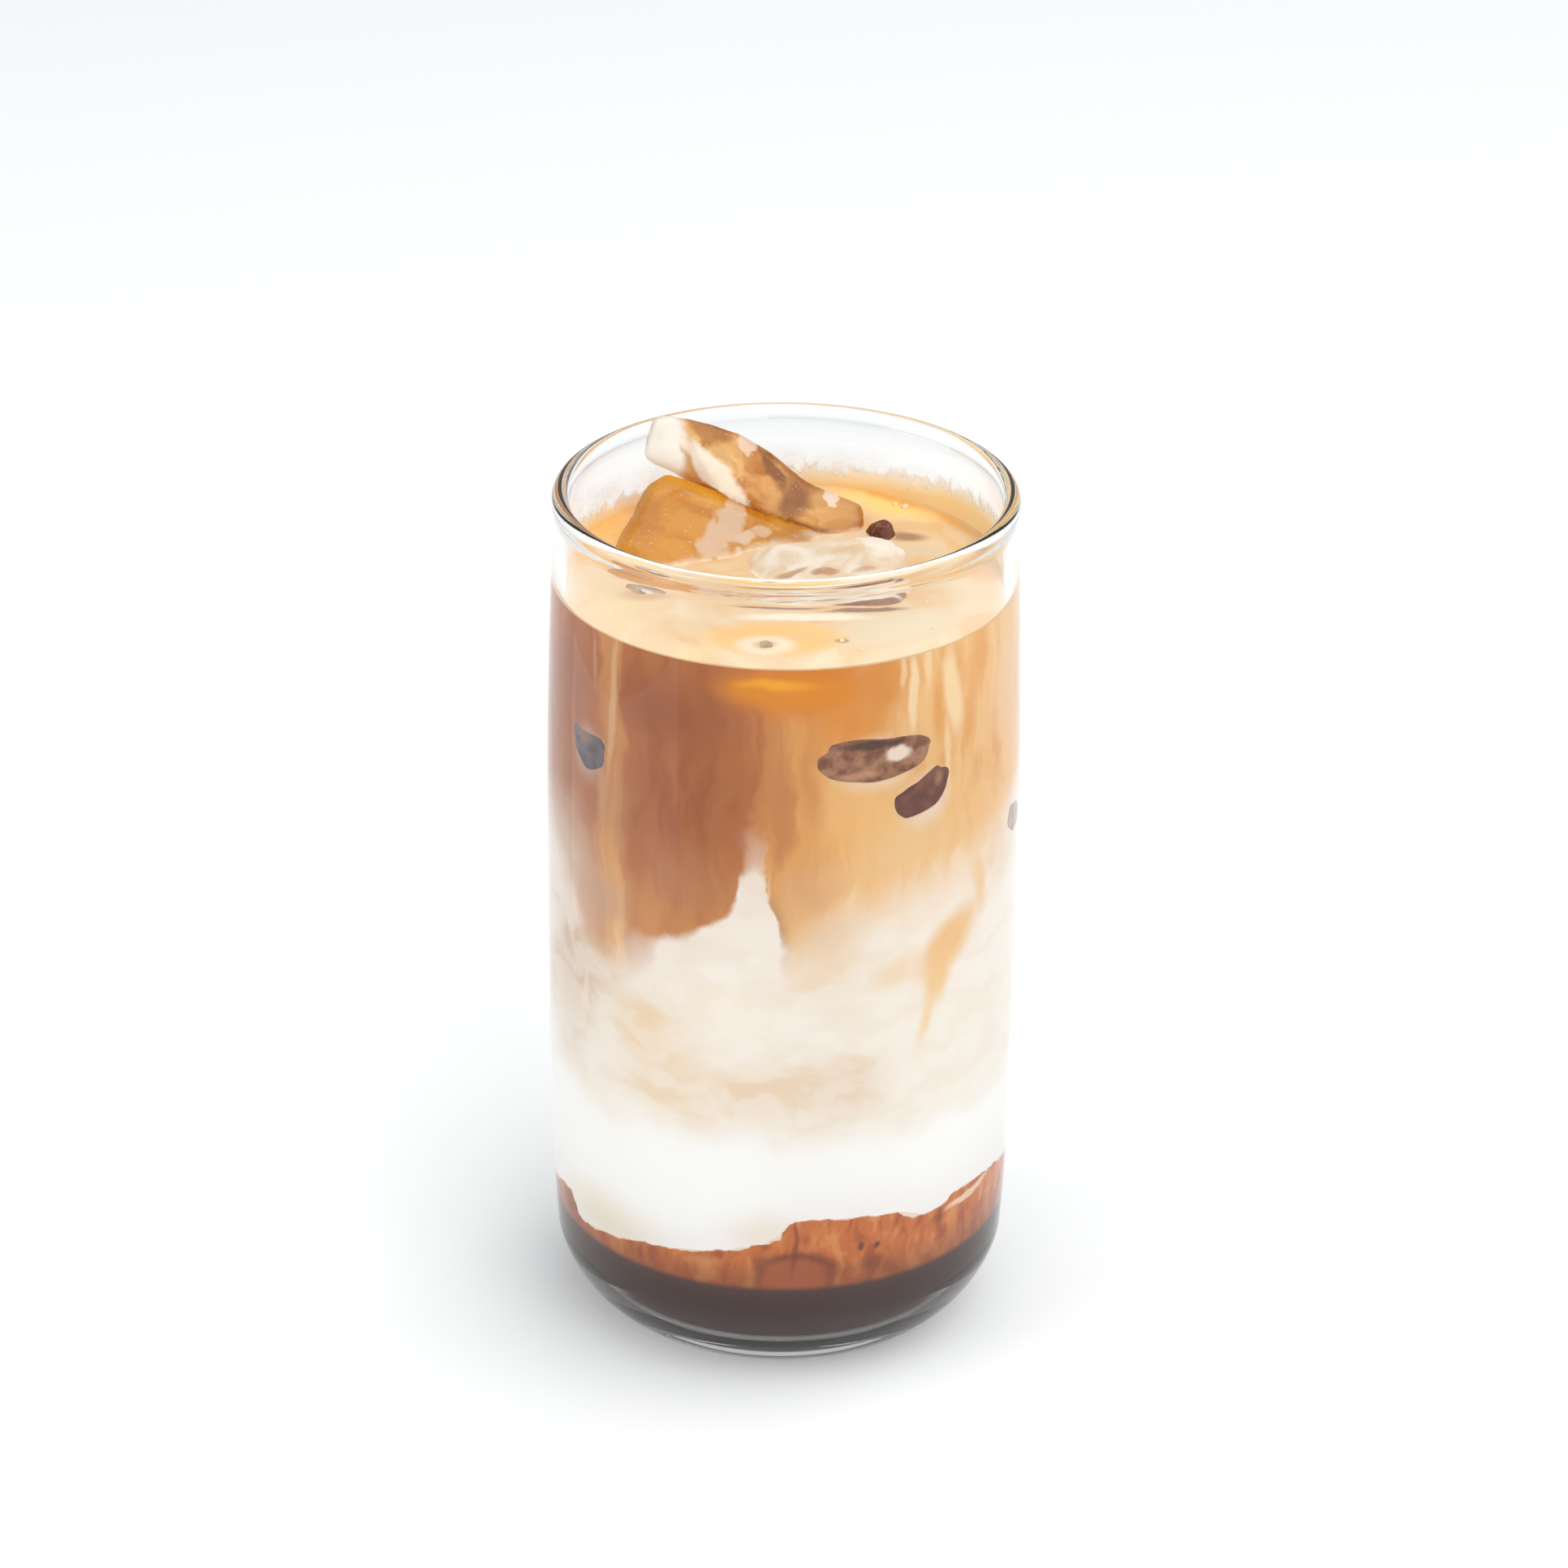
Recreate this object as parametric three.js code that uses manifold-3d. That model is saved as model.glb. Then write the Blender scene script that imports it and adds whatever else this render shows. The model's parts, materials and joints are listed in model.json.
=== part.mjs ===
// Iced mocha in a clear highball tumbler: chocolate syrup on the floor of the glass, milk above
// it, coffee above that, a thin crema on top, and ice standing out of the crema.
// Millimetres, +Z up. The origin is the middle of the foot, on the table. -Y is the front.
// Angles round the glass run from the front (0 degrees) towards +X (90 degrees).
import * as THREE from 'three';
import { mergeVertices } from 'three/addons/utils/BufferGeometryUtils.js';
import Module from 'manifold-3d';

const wasm = await Module();
wasm.setup();

// Driving dimensions of the glass
const GLASS_HEIGHT = 137.3;
const BODY_RADIUS = 36.5;
const NECK_RADIUS = 35.15;
const NECK_HEIGHT = 133.0;
const RIM_RADIUS = 35.43;
const RIM_THICKNESS = 2.66;
const BEAD_HEIGHT = 3.1;
const WALL = 2.2;
const TAPER_START = 80.0;
const FOOT_RADIUS = 25.4;
const CORNER_RADIUS = 35.4;
const CORNER_HEIGHT = 12.8;
const SHOULDER_HEIGHT = 48.0;
const CORNER_POWER = 1.55;
const PUSH_UP_RADIUS = 20.5;
const PUSH_UP = 1.2;
const FLOOR_HEIGHT = 5.2;
const FLOOR_RADIUS = 19.0;
const INNER_CORNER_HEIGHT = 17.0;

// Driving dimensions of the drink
const GAP = 0.3;
const STEEP_GAP = 0.5;
const SYRUP_LEVEL = 17.6;
const SYRUP_SKIRT = 6.5;
const SYRUP_EDGE = 22.5;
const MILK_LEVEL = 76.0;
const CREMA_BOTTOM = 122.9;
const CREMA_TOP = 124.1;

// How round the ice is: waves left by melting, and the powers of the splinter's end and section
const MELT_DEPTH = 0.3;
const END_POWER = 6;
const SECTION_POWER = 3.2;

// Facets: sides round the axis, steps round a corner, heights where the wall has a vertex, and
// radii where a liquid's surface has one, the last of them outside the glass
const SIDES = 48;
const CORNER_STEPS = 7;
const WALL_HEIGHTS = [24, 35, 48, 80, 92, 104, 114, 124, 133];
const PLAIN_RINGS = [38];
const SKIRT_RINGS = [14, 24, 27.6, 29.6, 31.4, 33, 38];
const CLIMB_RINGS = [14, 24, 30, 38];

const DEGREE = Math.PI / 180;

// Places where the smear of syrup climbs the wall, or hangs lower: angle, half-width in degrees,
// rise
const SYRUP_CLIMBS = [
  { angle: -58, width: 20, rise: -2.2 },
  { angle: 16, width: 22, rise: 7.6 },
  { angle: 62, width: 22, rise: 4.8 },
  { angle: 170, width: 40, rise: 2.5 },
];

// Places where the milk climbs into the coffee at the wall, or hangs lower
const MILK_CLIMBS = [
  { angle: -76, width: 24, rise: 6.0 },
  { angle: -29, width: 7, rise: 1.5 },
  { angle: -7, width: 5.5, rise: 12.5 },
  { angle: 9, width: 9, rise: -3.5 },
  { angle: 76, width: 30, rise: 15.0 },
  { angle: 150, width: 18, rise: 7.0 },
  { angle: -145, width: 20, rise: 9.0 },
];

// Merges a geometry's shared vertices, drops triangles without area and turns its faces outward
function closeUp(geometry) {
  geometry.deleteAttribute('normal');
  geometry.deleteAttribute('uv');
  const merged = mergeVertices(geometry, 1e-4);
  const index = merged.index.array;
  const position = merged.attributes.position;
  const corners = [0, 1, 2].map(() => new THREE.Vector3());
  const kept = [];
  let volume = 0;
  for (let i = 0; i < index.length; i += 3) {
    const triangle = [index[i], index[i + 1], index[i + 2]];
    if (new Set(triangle).size === 3) {
      triangle.forEach((vertex, k) => corners[k].fromBufferAttribute(position, vertex));
      volume += corners[0].dot(corners[1].clone().cross(corners[2]));
      kept.push(triangle);
    }
  }
  const outward = volume > 0 ? kept : kept.map(([a, b, c]) => [a, c, b]);
  merged.setIndex(outward.flat());
  return merged;
}

function toSolid(geometry) {
  return new wasm.Manifold(new wasm.Mesh({
    numProp: 3,
    vertProperties: Float32Array.from(geometry.attributes.position.array),
    triVerts: Uint32Array.from(geometry.index.array),
  }));
}

function toGeometry(solid) {
  const mesh = solid.getMesh();
  const geometry = new THREE.BufferGeometry();
  geometry.setAttribute('position', new THREE.BufferAttribute(mesh.vertProperties, 3));
  geometry.setIndex(new THREE.BufferAttribute(mesh.triVerts, 1));
  return geometry;
}

// Turns a list of [radius, height] pairs about the Z axis
function turned(profile) {
  const points = profile.map(([radius, height]) => new THREE.Vector2(radius, height));
  const geometry = new THREE.LatheGeometry(points, SIDES);
  geometry.rotateX(Math.PI / 2);
  return closeUp(geometry);
}

// Outside radius of the tumbler at a height above its bottom corner
function outerRadius(z) {
  if (z < SHOULDER_HEIGHT) {
    const left = (SHOULDER_HEIGHT - z) / (SHOULDER_HEIGHT - CORNER_HEIGHT);
    return BODY_RADIUS - (BODY_RADIUS - CORNER_RADIUS) * left ** 2;
  }
  const taper = Math.max(0, (z - TAPER_START) / (NECK_HEIGHT - TAPER_START));
  return BODY_RADIUS - (BODY_RADIUS - NECK_RADIUS) * taper ** 2;
}

// A quarter of a superellipse from a flat of radius r0 at height z0 up to radius r1 at height z1
function cornerArc(r0, z0, r1, z1) {
  const arc = [];
  for (let i = 0; i <= CORNER_STEPS; i++) {
    const t = (i / CORNER_STEPS) * (Math.PI / 2);
    const r = r0 + (r1 - r0) * Math.sin(t) ** (2 / CORNER_POWER);
    const z = z0 + (z1 - z0) * (1 - Math.cos(t) ** (2 / CORNER_POWER));
    arc.push([r, z]);
  }
  return arc;
}

// The side of the wall above its corner, standing inset from the outside
function wallLine(inset) {
  return WALL_HEIGHTS.map((z) => [outerRadius(z) - inset, z]);
}

// The cavity's line from its floor to the neck, moved inward by a gap
function cavityLine(gap) {
  const top = outerRadius(INNER_CORNER_HEIGHT) - WALL - gap;
  const corner = cornerArc(FLOOR_RADIUS, FLOOR_HEIGHT + gap, top, INNER_CORNER_HEIGHT);
  return [...corner, ...wallLine(WALL + gap)];
}

// The whole section of the tumbler: push-up, foot, outside, rim bead, inside and floor
function glassProfile() {
  const underside = [0, 0.4, 0.75, 1].map((share) => [
    PUSH_UP_RADIUS * share,
    PUSH_UP * (1 - share ** 2),
  ]);
  const corner = cornerArc(FOOT_RADIUS, 0, CORNER_RADIUS, CORNER_HEIGHT);
  const beadMiddle = [RIM_RADIUS - RIM_THICKNESS / 2, GLASS_HEIGHT - BEAD_HEIGHT / 2];
  const bead = [];
  for (let angle = -30; angle <= 210; angle += 30) {
    bead.push([
      beadMiddle[0] + (RIM_THICKNESS / 2) * Math.cos(angle * DEGREE),
      beadMiddle[1] + (BEAD_HEIGHT / 2) * Math.sin(angle * DEGREE),
    ]);
  }
  const inside = cavityLine(0).reverse();
  return [...underside, ...corner, ...wallLine(0), ...bead, ...inside, [0, FLOOR_HEIGHT]];
}

// Sum of bell-shaped climbs at an angle round the glass
function climb(climbs, angle) {
  return climbs.reduce((sum, { angle: middle, width, rise }) => {
    const away = THREE.MathUtils.euclideanModulo(angle - middle + 180, 360) - 180;
    return sum + rise * Math.exp(-((away / width) ** 2));
  }, 0);
}

function syrupTop(r, angle) {
  const edge = BODY_RADIUS - WALL;
  const skirt = THREE.MathUtils.smoothstep(r, edge - SYRUP_SKIRT, edge);
  const rise = SYRUP_EDGE - SYRUP_LEVEL + climb(SYRUP_CLIMBS, angle);
  return SYRUP_LEVEL + rise * skirt;
}

// The syrup's surface moved out to where the milk starts
function milkBottom(r, angle) {
  return syrupTop(r + GAP, angle) + GAP;
}

function milkTop(r, angle) {
  const share = Math.min(1, r / (BODY_RADIUS - WALL));
  return MILK_LEVEL + climb(MILK_CLIMBS, angle) * share ** 2;
}

function coffeeBottom(r, angle) {
  return milkTop(r, angle) + STEEP_GAP;
}

const flat = (z) => () => z;

// Everything below a surface that is given over radius and angle, wider than the glass
function below(surface, rings) {
  const profile = [[0, 0], [rings.at(-1), 0], ...[...rings].reverse().map((r) => [r, 1]), [0, 1]];
  const geometry = turned(profile);
  const position = geometry.attributes.position;
  for (let i = 0; i < position.count; i++) {
    const x = position.getX(i);
    const y = position.getY(i);
    const z = position.getZ(i) > 0.5 ? surface(Math.hypot(x, y), Math.atan2(x, -y) / DEGREE) : 0;
    position.setZ(i, z);
  }
  return toSolid(closeUp(geometry));
}

// Depth in millimetres of the shallow waves that melting leaves on a block at a point of it
function meltedDepth({ x, y, z }, phase) {
  const crossWave = Math.sin(2.3 * x + 3.1 * y + phase);
  const lengthWave = Math.cos(2.7 * z - 1.9 * x + phase);
  return MELT_DEPTH * Math.abs(crossWave * lengthWave);
}

// A rounded block of ice: a cube puffed towards a superellipsoid, with shallow melted hollows
function iceBlock({ size, at, turn, power = 5, phase = 0, facets = 6 }, grow = 0) {
  const geometry = new THREE.BoxGeometry(2, 2, 2, facets, facets, facets);
  const place = new THREE.Matrix4()
    .makeRotationFromEuler(new THREE.Euler(...turn.map((angle) => angle * DEGREE)))
    .setPosition(...at);
  const half = size.map((length) => length / 2 + grow);
  const position = geometry.attributes.position;
  const p = new THREE.Vector3();
  for (let i = 0; i < position.count; i++) {
    p.fromBufferAttribute(position, i);
    const norm = p.toArray().reduce((sum, value) => sum + Math.abs(value) ** power, 0) ** (1 / power);
    p.divideScalar(norm);
    p.multiplyScalar(1 - meltedDepth(p, phase) / Math.min(...half));
    p.set(p.x * half[0], p.y * half[1], p.z * half[2]).applyMatrix4(place);
    position.setXYZ(i, p.x, p.y, p.z);
  }
  return toSolid(closeUp(geometry));
}

// A twisted splinter of ice swept along a curve, its section given at the curve's stations.
// A unit sphere is drawn out along the curve: its Y axis runs from one end to the other.
function iceSplinter({ stations }, grow = 0) {
  const geometry = new THREE.SphereGeometry(1, 20, 16);
  const spine = new THREE.CatmullRomCurve3(stations.map(({ at }) => new THREE.Vector3(...at)));
  const last = stations.length - 1;
  const between = (key, t) => {
    const i = Math.min(last - 1, Math.floor(t * last));
    return THREE.MathUtils.lerp(stations[i][key], stations[i + 1][key], t * last - i);
  };
  const position = geometry.attributes.position;
  const p = new THREE.Vector3();
  for (let i = 0; i < position.count; i++) {
    p.fromBufferAttribute(position, i);
    const t = THREE.MathUtils.clamp((1 - p.y) / 2, 0, 1);
    const round = Math.max(0, 1 - Math.abs(p.y) ** END_POWER) ** (1 / END_POWER);
    const power = SECTION_POWER;
    const norm = (Math.abs(p.x) ** power + Math.abs(p.z) ** power) ** (1 / power) || 1;
    const across = (p.x / norm) * round * (between('width', t) / 2 + grow);
    const through = (p.z / norm) * round * (between('thickness', t) / 2 + grow);
    const along = spine.getPoint(t);
    const tangent = spine.getTangent(t);
    const lean = between('lean', t) * DEGREE;
    const down = new THREE.Vector3(0, -Math.cos(lean), -Math.sin(lean));
    down.addScaledVector(tangent, -down.dot(tangent)).normalize();
    const face = new THREE.Vector3().crossVectors(tangent, down);
    along.addScaledVector(tangent, -Math.sign(p.y) * grow);
    along.addScaledVector(down, across).addScaledVector(face, through);
    position.setXYZ(i, along.x, along.y, along.z);
  }
  return toSolid(closeUp(geometry));
}

// The ice: sizes in millimetres along each block's own axes, turns in degrees
const BLOCK = { size: [33.5, 23.5, 14], at: [-9.6, 8.6, 118.8], turn: [25, 12, -19], power: 7, phase: 0.6 };
const FRONT = { size: [26, 18, 13], at: [6.2, -2.9, 120.0], turn: [20, -10, -3], phase: 2.2 };
const CHIP = { size: [4.6, 5.2, 6.4], at: [14.5, 13.8, 122.9], turn: [24, 14, 20], power: 3.5, facets: 4 };
const LUMP = { size: [7.5, 6, 6], at: [-20.6, -5.4, 122.2], turn: [8, 6, 25], power: 3, facets: 4 };
const TIP = { size: [3.6, 3.2, 4], at: [-2.8, -27.2, 122.9], turn: [0, 0, 12], power: 2.6, facets: 3 };
const SPLINTER = {
  stations: [
    { at: [-21.5, 21.2, 136.6], width: 8.4, thickness: 5.2, lean: 72 },
    { at: [-16.2, 21.9, 135.0], width: 8.6, thickness: 5.5, lean: 60 },
    { at: [-8.4, 20.4, 131.8], width: 11.4, thickness: 5.5, lean: 42 },
    { at: [-3.4, 18.5, 128.8], width: 11.6, thickness: 5.5, lean: 36 },
    { at: [2.7, 17.6, 125.9], width: 9.2, thickness: 5.5, lean: 34 },
    { at: [8.9, 17.6, 124.0], width: 8.0, thickness: 5.5, lean: 30 },
    { at: [11.9, 17.8, 123.5], width: 7.6, thickness: 5.5, lean: 28 },
  ],
};

const ice = {
  ice_front: iceBlock(FRONT),
  ice_block: iceBlock(BLOCK).subtract(iceBlock(FRONT, GAP)),
  ice_splinter: iceSplinter(SPLINTER).subtract(iceBlock(BLOCK, GAP)),
  ice_chip: iceBlock(CHIP),
  ice_lump: iceBlock(LUMP).subtract(iceBlock(BLOCK, GAP)),
  ice_tip: iceBlock(TIP),
};

const iceRoom = [
  ...[FRONT, BLOCK, CHIP, LUMP, TIP].map((block) => iceBlock(block, GAP)),
  iceSplinter(SPLINTER, GAP),
].reduce((all, piece) => all.add(piece));

const cavity = turned([[0, FLOOR_HEIGHT + GAP], ...cavityLine(GAP), [0, NECK_HEIGHT]]);
const drinkRoom = toSolid(cavity).subtract(iceRoom);

// The layers of the drink fill the room that the glass and the ice leave, one above another
const drinks = {
  chocolate_syrup: drinkRoom.intersect(below(syrupTop, SKIRT_RINGS)),
  milk: drinkRoom.intersect(below(milkTop, CLIMB_RINGS)).subtract(below(milkBottom, SKIRT_RINGS)),
  coffee: drinkRoom
    .intersect(below(flat(CREMA_BOTTOM - GAP), PLAIN_RINGS))
    .subtract(below(coffeeBottom, CLIMB_RINGS)),
  crema: drinkRoom
    .intersect(below(flat(CREMA_TOP), PLAIN_RINGS))
    .subtract(below(flat(CREMA_BOTTOM), PLAIN_RINGS)),
};

const CLEAR_GLASS = new THREE.MeshStandardMaterial({
  color: 0xe6efec, roughness: 0.03, metalness: 0, transparent: true, opacity: 0.3,
});
const CLEAR_ICE = new THREE.MeshStandardMaterial({
  color: 0xe2c9a2, roughness: 0.12, metalness: 0, transparent: true, opacity: 0.7,
});
const DRINK_MATERIALS = {
  chocolate_syrup: new THREE.MeshStandardMaterial({ color: 0x3f2520, roughness: 0.25, metalness: 0 }),
  milk: new THREE.MeshStandardMaterial({ color: 0xfbf6f0, roughness: 0.35, metalness: 0 }),
  coffee: new THREE.MeshStandardMaterial({ color: 0xb57a4e, roughness: 0.3, metalness: 0 }),
  crema: new THREE.MeshStandardMaterial({ color: 0xf0d2a0, roughness: 0.45, metalness: 0 }),
};

const icedMocha = new THREE.Group();

function addNode(name, geometry, material) {
  const node = new THREE.Mesh(geometry, material);
  node.name = name;
  icedMocha.add(node);
}

addNode('glass', turned(glassProfile()), CLEAR_GLASS);
for (const [name, solid] of Object.entries(drinks)) {
  addNode(name, toGeometry(solid), DRINK_MATERIALS[name]);
}
for (const [name, solid] of Object.entries(ice)) {
  addNode(name, toGeometry(solid), CLEAR_ICE);
}

export default icedMocha;
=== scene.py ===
"""Iced mocha in a clear tumbler: glass, syrup, milk, coffee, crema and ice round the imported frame.

Sizes in the tables below are millimetres and degrees. Angles round the glass run from the front
towards +X, so the front is 0 and the right-hand side 90.
"""

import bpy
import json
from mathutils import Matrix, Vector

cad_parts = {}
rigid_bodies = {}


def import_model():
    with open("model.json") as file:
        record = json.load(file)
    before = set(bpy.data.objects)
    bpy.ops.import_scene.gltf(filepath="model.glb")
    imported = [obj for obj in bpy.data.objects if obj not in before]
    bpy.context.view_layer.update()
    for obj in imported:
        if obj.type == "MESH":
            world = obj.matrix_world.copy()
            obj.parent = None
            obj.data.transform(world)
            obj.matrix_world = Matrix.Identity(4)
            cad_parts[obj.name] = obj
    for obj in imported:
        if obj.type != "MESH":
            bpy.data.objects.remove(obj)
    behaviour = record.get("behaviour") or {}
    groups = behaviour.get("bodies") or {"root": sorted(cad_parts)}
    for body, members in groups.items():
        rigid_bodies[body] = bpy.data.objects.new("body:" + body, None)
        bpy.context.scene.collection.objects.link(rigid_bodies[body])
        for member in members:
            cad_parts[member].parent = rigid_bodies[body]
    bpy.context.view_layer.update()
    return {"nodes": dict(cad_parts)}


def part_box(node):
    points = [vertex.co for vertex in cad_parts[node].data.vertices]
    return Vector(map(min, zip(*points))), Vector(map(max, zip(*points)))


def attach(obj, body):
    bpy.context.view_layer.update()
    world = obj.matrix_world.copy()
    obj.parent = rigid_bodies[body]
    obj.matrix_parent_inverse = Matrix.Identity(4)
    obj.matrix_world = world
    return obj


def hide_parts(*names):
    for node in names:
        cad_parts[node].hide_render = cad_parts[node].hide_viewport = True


bl_info = {
    "name": "Iced mocha in a tumbler",
    "version": (1, 0, 0),
    "blender": (4, 5, 0),
    "location": "3D View > Sidebar > Mocha",
    "description": "Builds a tumbler of iced mocha piece by piece, with its table and studio light",
    "category": "Add Mesh",
}

import json
import math
import random

import bpy
from bpy.props import FloatProperty, FloatVectorProperty, IntProperty, PointerProperty
from mathutils import Matrix, Vector, noise

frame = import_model()

MM = 0.001


def linear(code):
    """Turns an sRGB hex colour such as "F2D7A8" into linear red, green, blue and alpha."""
    parts = [int(code[i:i + 2], 16) / 255 for i in (0, 2, 4)]
    return (*[c / 12.92 if c <= 0.04045 else ((c + 0.055) / 1.055) ** 2.4 for c in parts], 1.0)


def node_box(name):
    """Lowest and highest corner of a CAD node in millimetres."""
    return [[value / MM for value in corner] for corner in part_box(name)]


# The tumbler's section, in millimetres: its height and width come from the frame
GLASS_LOW, GLASS_HIGH = node_box("glass")
GLASS_HEIGHT = GLASS_HIGH[2]
BODY_RADIUS = (GLASS_HIGH[0] - GLASS_LOW[0]) / 2
WALL = 2.2
NECK_RADIUS = BODY_RADIUS - 1.35
NECK_HEIGHT = GLASS_HEIGHT - 4.3
RIM_RADIUS = BODY_RADIUS - 1.07
RIM_THICKNESS = 2.66
BEAD_HEIGHT = 3.1
TAPER_START = 80.0
FOOT_RADIUS = 25.4
CORNER_RADIUS = BODY_RADIUS - 1.1
CORNER_HEIGHT = 12.8
SHOULDER_HEIGHT = 48.0
CORNER_POWER = 1.55
PUSH_UP_RADIUS = 20.5
PUSH_UP = 1.2
FLOOR_HEIGHT = 5.2
FLOOR_RADIUS = 19.0
INNER_CORNER_HEIGHT = 17.0
# The inside of the wall, on which the drink's pattern is unrolled
ARC_RADIUS = BODY_RADIUS - WALL
ARC_PER_DEGREE = ARC_RADIUS * math.pi / 180

# Levels of the drink: those of the foam come from the frame, the milk's is that at the axis
SYRUP_LEVEL = 17.6
MILK_LEVEL = 76.0
CREMA_BOTTOM = node_box("crema")[0][2]
CREMA_TOP = node_box("crema")[1][2]

# How far a liquid's skin stands in the wall of the glass, so that no air shows between them
REACH = 0.2
# How far a liquid stands inside the ice that it wets
WETTING = 0.28
# How far the foam sinks towards the glass in front, and where in the noise each of its two waves
# is taken from, its length and its height
FOAM_DIP = 0.95
FOAM_WAVES = ((3.0, 6.0, 0.28), (9.0, 2.2, 0.08))
# How far below the foam's top the film on the wall starts, and its thickness there
FILM_ROOT = 1.1
FILM_THICKNESS = 0.22
# Radii of the rings of points that the layers' surfaces are made of
SMEAR_RINGS = [14, 24, 27.6, 29, 30.2, 31.2, 32, 32.6, 33.0]
MILK_RINGS = [10, 18, 24, 28, 31, 33]
COFFEE_RINGS = [10, 18, 24, 28, 31, 32, 33, 33.6]
LAYER_SIDES = 180

# Where the syrup's smear ends on the wall: angle, height
SMEAR_EDGE = [
    (-180, 24.5), (-120, 23.0), (-85, 20.8), (-76, 22.4), (-68, 23.2), (-62, 19.6), (-50, 20.6),
    (-38, 21.8), (-19, 23.6), (-6, 25.4), (1, 27.6), (5, 30.2), (16, 30.0), (30, 29.2), (42, 27.0),
    (54, 28.6), (70, 27.6), (90, 25.0), (130, 24.0), (180, 24.5),
]

# Where the milk ends and the coffee starts at the wall: angle, height
MILK_EDGE = [
    (-180, 80), (-130, 84), (-90, 84), (-66, 79), (-48, 72), (-38, 74), (-31, 77), (-24, 78.5),
    (-17, 81.5), (-11, 86), (-6, 91), (-3, 86), (-1, 79.5), (4, 76), (12, 76.5), (24, 81), (40, 84),
    (60, 87), (80, 90), (120, 84), (180, 80),
]


def between(outline, angle):
    """Height of an outline of (angle, height) pairs at an angle, smoothly joined."""
    angle = (angle + 180) % 360 - 180
    for (a0, h0), (a1, h1) in zip(outline, outline[1:]):
        if a0 <= angle <= a1:
            t = (angle - a0) / (a1 - a0)
            return h0 + (h1 - h0) * t * t * (3 - 2 * t)
    return outline[-1][1]


def smooth(value, low, high):
    """0 below low, 1 above high, and smooth between."""
    t = min(1, max(0, (value - low) / (high - low)))
    return t * t * (3 - 2 * t)


def outer_radius(z):
    """Radius of the outside of the wall at a height above the rounded bottom corner."""
    if z < SHOULDER_HEIGHT:
        left = (SHOULDER_HEIGHT - z) / (SHOULDER_HEIGHT - CORNER_HEIGHT)
        return BODY_RADIUS - (BODY_RADIUS - CORNER_RADIUS) * left ** 2
    taper = max(0, (z - TAPER_START) / (NECK_HEIGHT - TAPER_START))
    return BODY_RADIUS - (BODY_RADIUS - NECK_RADIUS) * taper ** 2


def corner_arc(r0, z0, r1, z1, steps):
    """A quarter of a superellipse from a flat at (r0, z0) up to a wall at (r1, z1)."""
    arc = []
    for i in range(steps + 1):
        t = i / steps * math.pi / 2
        r = r0 + (r1 - r0) * math.sin(t) ** (2 / CORNER_POWER)
        z = z0 + (z1 - z0) * (1 - max(0.0, math.cos(t)) ** (2 / CORNER_POWER))
        arc.append((r, z))
    return arc


def skin_radius(z, wall):
    """Radius of a liquid's skin, just inside the glass of the wall."""
    inner = outer_radius(max(z, INNER_CORNER_HEIGHT)) - wall
    if z < INNER_CORNER_HEIGHT:
        up = min(1, max(0, (z - FLOOR_HEIGHT) / (INNER_CORNER_HEIGHT - FLOOR_HEIGHT)))
        inner = FLOOR_RADIUS + (inner - FLOOR_RADIUS) * (1 - (1 - up) ** CORNER_POWER) ** (1 / CORNER_POWER)
    return inner + REACH


def floor_height(r, wall):
    """Height of the cavity's floor at a radius."""
    edge = outer_radius(INNER_CORNER_HEIGHT) - wall
    out = min(1, max(0, (r - FLOOR_RADIUS) / (edge - FLOOR_RADIUS)))
    rise = 1 - (1 - out ** CORNER_POWER) ** (1 / CORNER_POWER)
    return FLOOR_HEIGHT + (INNER_CORNER_HEIGHT - FLOOR_HEIGHT) * rise


# Modelling helpers

def deselect_all():
    """Leaves edit mode and selects nothing."""
    if bpy.context.object and bpy.context.object.mode != "OBJECT":
        bpy.ops.object.mode_set(mode="OBJECT")
    bpy.ops.object.select_all(action="DESELECT")


def pick(piece):
    """Selects one piece alone and makes it the active one."""
    deselect_all()
    piece.select_set(True)
    bpy.context.view_layer.objects.active = piece


def turned(name, section, sides):
    """Draws a section of (radius, height) points and spins it round the axis of the glass."""
    deselect_all()
    bpy.ops.mesh.primitive_plane_add(size=MM)
    piece = bpy.context.object
    piece.name = piece.data.name = name
    bpy.ops.object.mode_set(mode="EDIT")
    bpy.ops.mesh.merge(type="CENTER")
    bpy.ops.transform.translate(value=(section[0][0] * MM, 0, section[0][1] * MM))
    for (r0, z0), (r1, z1) in zip(section, section[1:]):
        step = ((r1 - r0) * MM, 0, (z1 - z0) * MM)
        bpy.ops.mesh.extrude_vertices_move(TRANSFORM_OT_translate={"value": step})
    bpy.ops.mesh.select_all(action="SELECT")
    bpy.ops.mesh.spin(steps=sides, angle=2 * math.pi, center=(0, 0, 0), axis=(0, 0, 1))
    bpy.ops.mesh.select_all(action="SELECT")
    bpy.ops.mesh.remove_doubles(threshold=0.002 * MM)
    bpy.ops.mesh.normals_make_consistent(inside=False)
    bpy.ops.object.mode_set(mode="OBJECT")
    return piece


def reshape(piece, move):
    """Moves each vertex: move takes its place in millimetres and returns the new one."""
    for vertex in piece.data.vertices:
        vertex.co = Vector(move(vertex.co / MM)) * MM
    piece.data.update()


def face_outward(piece):
    """Turns all faces of a closed piece outwards."""
    pick(piece)
    bpy.ops.object.mode_set(mode="EDIT")
    bpy.ops.mesh.select_all(action="SELECT")
    bpy.ops.mesh.normals_make_consistent(inside=False)
    bpy.ops.object.mode_set(mode="OBJECT")


def apply_modifier(piece, kind, **settings):
    """Adds a modifier with its settings and applies it."""
    pick(piece)
    bpy.ops.object.modifier_add(type=kind)
    made = piece.modifiers[-1]
    for name, value in settings.items():
        setattr(made, name, value)
    bpy.ops.object.modifier_apply(modifier=made.name)


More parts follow.
